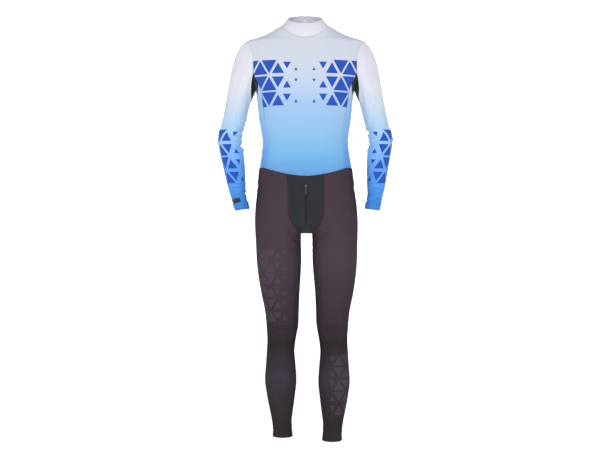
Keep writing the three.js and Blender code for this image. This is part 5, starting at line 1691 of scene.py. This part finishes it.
    def build(self) -> None:
        """Thighs and lower legs, front and back, left and right."""
        thigh = THIGH_SEAM + (CROTCH - THIGH_SEAM) * graded(CROTCH - THIGH_SEAM, ends=(True, False))
        curve = self.curve_heights(56)[1:]
        waist = CURVE_TOP + (WAIST_SIDE - CURVE_TOP) * graded(WAIST_SIDE - CURVE_TOP, ends=(False, True))[1:]
        thigh = np.concatenate([thigh, curve, waist])
        shin = HEM_HEIGHT + (THIGH_SEAM - HEM_HEIGHT) * graded(THIGH_SEAM - HEM_HEIGHT)
        for left in (True, False):
            for front in (True, False):
                where = "front" if front else "back"
                tonal = Finishes.TONAL_CALF if left else Finishes.TONAL_THIGH
                low = tonal if front else Finishes.CHARCOAL_KNIT
                high = Finishes.TONAL_THIGH if front and not left else Finishes.CHARCOAL_KNIT
                self.panel(f"thigh_{where}", front, left, thigh, self.ROUND_HIGH, high)
                self.panel(f"lower_leg_{where}", front, left, shin, self.ROUND_LOW, low)


class FlyPanel:
    """The black panel: down the front, under the crotch and up behind to a point."""

    CLOTH, SWELL = 1.3, 0.35
    HALF_ARC = 56.0
    ZIP_STITCH = 7.5
    FACING_STITCH = 46.0
    # How far the creases keep from the zip.
    CALM_ZIP = 9.0

    def __init__(self, sewing: Sewing) -> None:
        """Works out the rows, from the waist in front to the tail's top behind."""
        self.sewing = sewing
        waist = WAIST_SIDE - (WAIST_SIDE - CURVE_TOP) * graded(WAIST_SIDE - CURVE_TOP, 3.0, (True, False))
        down = Tights.curve_heights(60)[::-1][1:]
        up = Tights.curve_heights(30, TAIL_END)[1:]
        heights = np.concatenate([waist, down, up])
        bottom = np.abs(heights[: len(waist) + len(down)] - FLY_ZIP_BOTTOM).argmin()
        top = np.abs(heights - FLY_ZIP_TOP).argmin()
        heights[bottom], heights[top] = FLY_ZIP_BOTTOM, FLY_ZIP_TOP
        self.zip_rows = (top, bottom)
        self.heights = heights
        self.front_rows = len(waist) + len(down)

    def line(self, across: Callable[[Array], Array]) -> Skin:
        """Points on the panel at one place across in every row.

        Args:
            across: the distance from the middle, from the panel's half width.
        Returns:
            The skin, one point a row.
        """
        front = np.arange(len(self.heights)) < self.front_rows
        edges = []
        for is_front in (True, False):
            turn, level = Tights.place(self.heights[:, None], np.array([[1.0]]), is_front)
            skin = skin_of(Tights.point, turn, level, TURN_STEP, HEIGHT_STEP)
            edges.append(Skin(skin.points[:, 0], skin.normals[:, 0]))
        pick = front[:, None]
        points = np.where(pick, edges[0].points, edges[1].points)
        normals = np.where(pick, edges[0].normals, edges[1].normals)
        half = np.maximum(points[:, 0], TAIL_TIP_HALF)
        x = across(half)
        y = points[:, 1] + FLY_CROWN * (half**2 - x**2) * np.where(front, -1, 1)
        dip = np.maximum((self.heights - CURVE_TOP) / (WAIST_SIDE - CURVE_TOP), 0)
        dipped = self.heights - dip * waist_fall(x)
        z = np.where(front & (self.heights > CURVE_TOP), dipped, points[:, 2])
        leaned = normals * np.stack([x / half, np.ones_like(x), np.ones_like(x)], -1)
        return Skin(np.stack([x, y, z], -1), unit(leaned))

    def grid(self, shares: Array) -> Skin:
        """The panel's grid: shares run from the slot's edge (0) to the panel's edge (1), and are
        repeated on the other side of the slot."""
        sides = np.concatenate([-shares[::-1], shares])
        signs = np.concatenate([-np.ones(len(shares)), np.ones(len(shares))])
        slot = lambda half: np.minimum(CHAIN_HALF + CHAIN_GAP, half / 6)
        lines = [
            self.line(lambda half, s=s, sign=sign: sign * slot(half) + (half - slot(half)) * s)
            for s, sign in zip(sides, signs)
        ]
        return Skin(*(np.stack(part, 1) for part in zip(*lines)))

    def creases(self, points: Array) -> Array:
        """The tuck across the panel's top, soft pulls at the zip's foot and a slow swell."""
        x, z = points[..., 0], points[..., 2]
        folds = Folds(
            (0, 979, 34, 2.4, -1.1, 0), (24, 940, 40, 5, -0.8, 70, 4), (-22, 932, 40, 5, -0.8, 110, 4),
            (0, 827, 26, 4.5, -1.8, 0, 4), (30, 842, 26, 5, -1.8, 34, 4), (-29, 845, 26, 5, -1.9, -32, 4),
            (9, 815, 16, 4, -1.6, 18, 2), (-10, 817, 16, 4, -1.6, -22, 2), (34, 900, 34, 6, 0.9, 80),
            (-36, 892, 34, 6, 0.9, 100),
            creased=True,
        )
        return np.where(points[..., 1] < 0, folds.rise(x, z, 1.0), 0) + swell(points, self.SWELL)

    def build(self) -> None:
        """The panel with its slot, topstitching beside the zip and down the facing."""
        shares = graded(self.HALF_ARC, 2.8)
        skin = self.grid(shares)
        clear = clamped((np.abs(skin.points[..., 0]) - CHAIN_HALF) / self.CALM_ZIP)
        skin = skin.lifted(self.creases(skin.points) * clear)
        rows, columns = skin.points.shape[:2]
        keep = np.ones((rows - 1, columns - 1), bool)
        top, bottom = self.zip_rows
        keep[top:bottom, len(shares) - 1] = False
        uv = np.stack([skin.points[..., 0], arc(skin.points, 0)], -1)
        panel = Panel("fly_panel", skin, uv, Finishes.BLACK_KNIT, ALL_SEWN, self.CLOTH)
        panel.thread, panel.group, panel.keep = Finishes.DARK_THREAD, "fly_stitching", keep
        panel.build(self.sewing)
        outer, _ = panel.shaped()
        half = slice(len(shares), None), slice(len(shares) - 1, None, -1)
        for columns_of in half:
            side = Skin(outer.points[:, columns_of], outer.normals[:, columns_of])
            zip_side = Skin(side.points[top : bottom + 3], side.normals[top : bottom + 3])
            self.sewing.add(panel.group, panel.thread, line_at(zip_side, self.ZIP_STITCH))
            upper = Skin(side.points[: bottom - 4], side.normals[: bottom - 4])
            self.sewing.add(panel.group, panel.thread, line_at(upper, self.FACING_STITCH))

    def chain_line(self) -> Skin:
        """The middle of the zip's chain, on its outer face."""
        top, bottom = self.zip_rows
        line = self.line(np.zeros_like)
        return Skin(line.points[top : bottom + 1], line.normals[top : bottom + 1]).lifted(CHAIN_PROUD)


@dataclass
class Zip:
    """A closed coil zip: two rows of teeth that mesh along a line, on a tape."""

    name: str
    line: Skin
    finish: Finishes
    pitch: float = 1.5
    trim: float = 0.6
    # A tooth: its half width and half depth, each ring's place along it and size, and how far its
    # middle lies beside the chain's line and below it.
    HALF_WIDE, HALF_DEEP = 0.36, 0.5
    RINGS = ((-1.55, 0.55), (-1.25, 1.0), (1.25, 1.0), (1.55, 0.55))
    BESIDE, SUNK = 0.75, 0.5
    # The tape: its thickness, half the width of its higher middle, and how far its edges and that
    # middle lie below the chain's line.
    TAPE, TAPE_MIDDLE, TAPE_EDGE_DOWN, TAPE_DOWN = 0.9, 0.9, 1.1, 1.0

    def teeth(self) -> tuple[Array, list[Array]]:
        """Each tooth is a rounded bar across the line. The bars of the two sides take turns, and each
        reaches a little past the middle."""
        along = arc(self.line.points, 0)
        count = int((along[-1] - 2 * self.trim) / self.pitch) * 2
        at = self.trim + (np.arange(count) + 0.5) * self.pitch / 2
        points = along_line(at, along, self.line.points)
        normals = unit(along_line(at, along, self.line.normals))
        ahead, back = (along_line(at + step, along, self.line.points) for step in (1, -1))
        tangents = unit(ahead - back)
        sides = unit(np.cross(tangents, normals))
        sign = np.where(np.arange(count) % 2, 1.0, -1.0)[:, None]
        origins = points + sides * sign * self.BESIDE - normals * self.SUNK
        k = np.arange(6)
        corner = k * np.pi / 3
        ring = np.stack([0 * k, np.cos(corner) * self.HALF_WIDE, np.sin(corner) * self.HALF_DEEP], 1)
        template = np.vstack([ring * scale + [x, 0, 0] for x, scale in self.RINGS])
        after = (k + 1) % 6
        quads = np.vstack([
            np.stack([6 * i + k, 6 * i + after, 6 * i + 6 + after, 6 * i + 6 + k], 1) for i in range(3)
        ])
        caps = np.array([[5, 4, 3, 2, 1, 0], [18, 19, 20, 21, 22, 23]])
        return repeated(template, (quads, caps), origins, np.stack([sides, tangents, normals], 1))

    def tape(self) -> tuple[Array, Array]:
        """A flat strip under the teeth, as wide as the chain."""
        points, normals = self.line
        tangents = unit(np.gradient(points, axis=0))
        sides = unit(np.cross(tangents, normals))
        offsets = np.array([-CHAIN_HALF, -self.TAPE_MIDDLE, self.TAPE_MIDDLE, CHAIN_HALF])
        depth = -np.array([self.TAPE_EDGE_DOWN, self.TAPE_DOWN, self.TAPE_DOWN, self.TAPE_EDGE_DOWN])
        grid = points[:, None] + sides[:, None] * offsets[:, None] + normals[:, None] * depth[:, None]
        normal_grid = np.broadcast_to(normals[:, None], grid.shape)
        skin, edges = Skin(grid, normal_grid), (Edge.RAW,) * 4
        panel = Panel(self.name, skin, grid[..., :2], self.finish, edges, self.TAPE)
        return panel.faces_of(skin, np.full(grid.shape[:2], self.TAPE))

    def build(self, node: str) -> None:
        """Joins teeth and tape into one piece that stands for the chain's node."""
        tooth_points, (quads, caps) = self.teeth()
        tape_points, tape_faces = self.tape()
        vertices = np.concatenate([tooth_points, tape_points])
        faces = [np.concatenate([quads, tape_faces + len(tooth_points)]), caps]
        piece = finished(make_object(self.name, to_frame(vertices), faces), self.finish)
        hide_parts(node)


def back_chain_line() -> Skin:
    """The centre-back zip's line, from the waist seam up the back and the collar."""
    rows_on_back, rows_on_collar = 150, 16
    low = np.linspace(WAIST_SIDE + 0.5, NECK_SIDE - 1, rows_on_back)
    behind = np.full(rows_on_back, np.pi)
    on_back = torso_skin(behind, row_height(low, behind, behind))
    rise = np.linspace(0.05, 0.985, rows_on_collar)
    on_collar = Collar().skin(np.full(rows_on_collar, np.pi - 0.001), rise)
    points = np.concatenate([on_back.points, on_collar.points])
    points[:, 0] = 0
    normals = unit(np.concatenate([on_back.normals, on_collar.normals]) * [0.0, 1.0, 1.0])
    return Skin(points, normals).lifted(CHAIN_PROUD)


def dress_hardware() -> None:
    """Gives the sliders and pull tabs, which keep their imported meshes, their metal."""
    for node, finish in (
        ("fly_zip_slider", Finishes.DARK_METAL), ("fly_zip_pull_tab", Finishes.DARK_METAL),
        ("back_zip_slider", Finishes.LIGHT_METAL), ("back_zip_pull_tab", Finishes.LIGHT_METAL),
    ):
        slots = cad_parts[node].data.materials
        slots.clear()
        slots.append(finish.made)


class Light(NamedTuple):
    """A soft square light that faces a point: places and side in metres, power in watts."""

    name: str
    place: tuple[float, float, float]
    aim: tuple[float, float, float]
    side: float
    power: float

    def build(self) -> None:
        """Adds the light to the scene."""
        lamp = bpy.data.lights.new(self.name, "AREA")
        lamp.shape, lamp.size, lamp.energy = "SQUARE", self.side, self.power
        holder = bpy.data.objects.new(self.name, lamp)
        holder.location = self.place
        towards = Vector(self.aim) - Vector(self.place)
        holder.rotation_euler = towards.to_track_quat("-Z", "Y").to_euler()
        bpy.context.scene.collection.objects.link(holder)


class Studio:
    """A pale round floor that curves up into a wall on all sides, soft lights and the level camera."""

    CAMERA_HEIGHT = -0.626
    DISTANCE = 4.5
    LENS, SENSOR = 78.1, 36.0
    LIGHTS = (
        Light("key", (-1.1, -4.2, 1.2), (0, 0, -0.5), 1.6, 76),
        Light("fill", (1.8, -3.8, 0.2), (0, 0, -0.6), 1.6, 27),
        Light("top", (0, -0.5, 2.2), (0, 0, 0), 1.6, 8),
        Light("collar", (0, -1.5, 1.1), (0, 0.06, 0.07), 0.4, 0.8),
    )
    WORLD = 0.12
    # The floor's height, its flat part's radius, the bend's radius and the wall's top above it.
    FLOOR, FLAT, BEND, WALL = -1.46, 5.4, 1.6, 5.0
    STEPS_ROUND, STEPS_UP = 96, 16
    # The glow beside the suit, which is also its most there, how much less it is for each metre in
    # front, and its least. Then how far behind the suit more is added, and how much for each metre.
    GLOW, GLOW_SLOPE, GLOW_LEAST = 0.52, 0.2, 0.06
    FAR_STARTS, FAR_SLOPE = 2.0, 0.05

    def backdrop(self) -> None:
        """A profile turned round the suit: flat, then a quarter circle, then upright. It glows most
        behind the suit, and least in front, where its glow would flatten the folds."""
        turn = np.linspace(0, np.pi / 2, self.STEPS_UP)
        radius = np.concatenate([[0.0], self.FLAT + self.BEND * np.sin(turn), [self.FLAT + self.BEND]])
        height = np.concatenate([[0.0], self.BEND * (1 - np.cos(turn)), [self.WALL]]) + self.FLOOR
        around = np.linspace(0, 2 * np.pi, self.STEPS_ROUND, endpoint=False)
        grid = np.stack(np.broadcast_arrays(
            radius[:, None] * np.cos(around), radius[:, None] * np.sin(around), height[:, None],
        ), -1)
        index = np.arange(grid[..., 0].size).reshape(-1, self.STEPS_ROUND)
        after = np.roll(index, -1, 1)
        faces = np.stack([index[:-1], after[:-1], after[1:], index[1:]], -1).reshape(-1, 4)
        stage = make_object("floor", grid.reshape(-1, 3), [faces])
        graph = Graph("pale floor")
        y = graph.place("Object")[1]
        far = graph.math("MAXIMUM", graph.math("SUBTRACT", y, self.FAR_STARTS), 0.0)
        near = graph.math("MULTIPLY_ADD", y, self.GLOW_SLOPE, self.GLOW)
        glow = graph.math("MAXIMUM", graph.math("MINIMUM", near, self.GLOW), self.GLOW_LEAST)
        graph.set(Base_Color=srgb(250, 250, 251), Roughness=0.9, Specular_IOR_Level=0.1)
        graph.set(Emission_Color=srgb(255, 255, 255))
        graph.set(Emission_Strength=graph.math("MULTIPLY_ADD", far, self.FAR_SLOPE, glow))
        stage.data.materials.append(graph.material)

    def build(self) -> None:
        """Camera, world, lights and floor."""
        scene = bpy.context.scene
        scene.view_settings.view_transform = "Standard"
        camera = bpy.data.cameras.new("camera")
        camera.lens, camera.sensor_width = self.LENS, self.SENSOR
        holder = bpy.data.objects.new("camera", camera)
        holder.location = (0, -self.DISTANCE, self.CAMERA_HEIGHT)
        holder.rotation_euler = (np.pi / 2, 0, 0)
        scene.collection.objects.link(holder)
        scene.camera = holder
        world = bpy.data.worlds.new("studio")
        world.use_nodes = True
        colour, strength = world.node_tree.nodes["Background"].inputs[:2]
        colour.default_value, strength.default_value = (1, 1, 1, 1), self.WORLD
        scene.world = world
        for light in self.LIGHTS:
            light.build()
        self.backdrop()


def main() -> None:
    """Builds the sub-assemblies in the order in which a maker would join them."""
    logging.basicConfig(level=logging.INFO, format="%(message)s")
    Studio().build()
    sewing = Sewing()
    Top(sewing).build()
    Sleeves(sewing).build()
    Collar().build(sewing)
    Tights(sewing).build()
    fly = FlyPanel(sewing)
    fly.build()
    Zip("fly_zip_teeth", fly.chain_line(), Finishes.BLACK_COIL).build("fly_zip_chain")
    Zip("back_zip_teeth", back_chain_line(), Finishes.WHITE_COIL).build("back_zip_chain")
    dress_hardware()
    sewing.build()


if __name__ == "__main__":
    main()
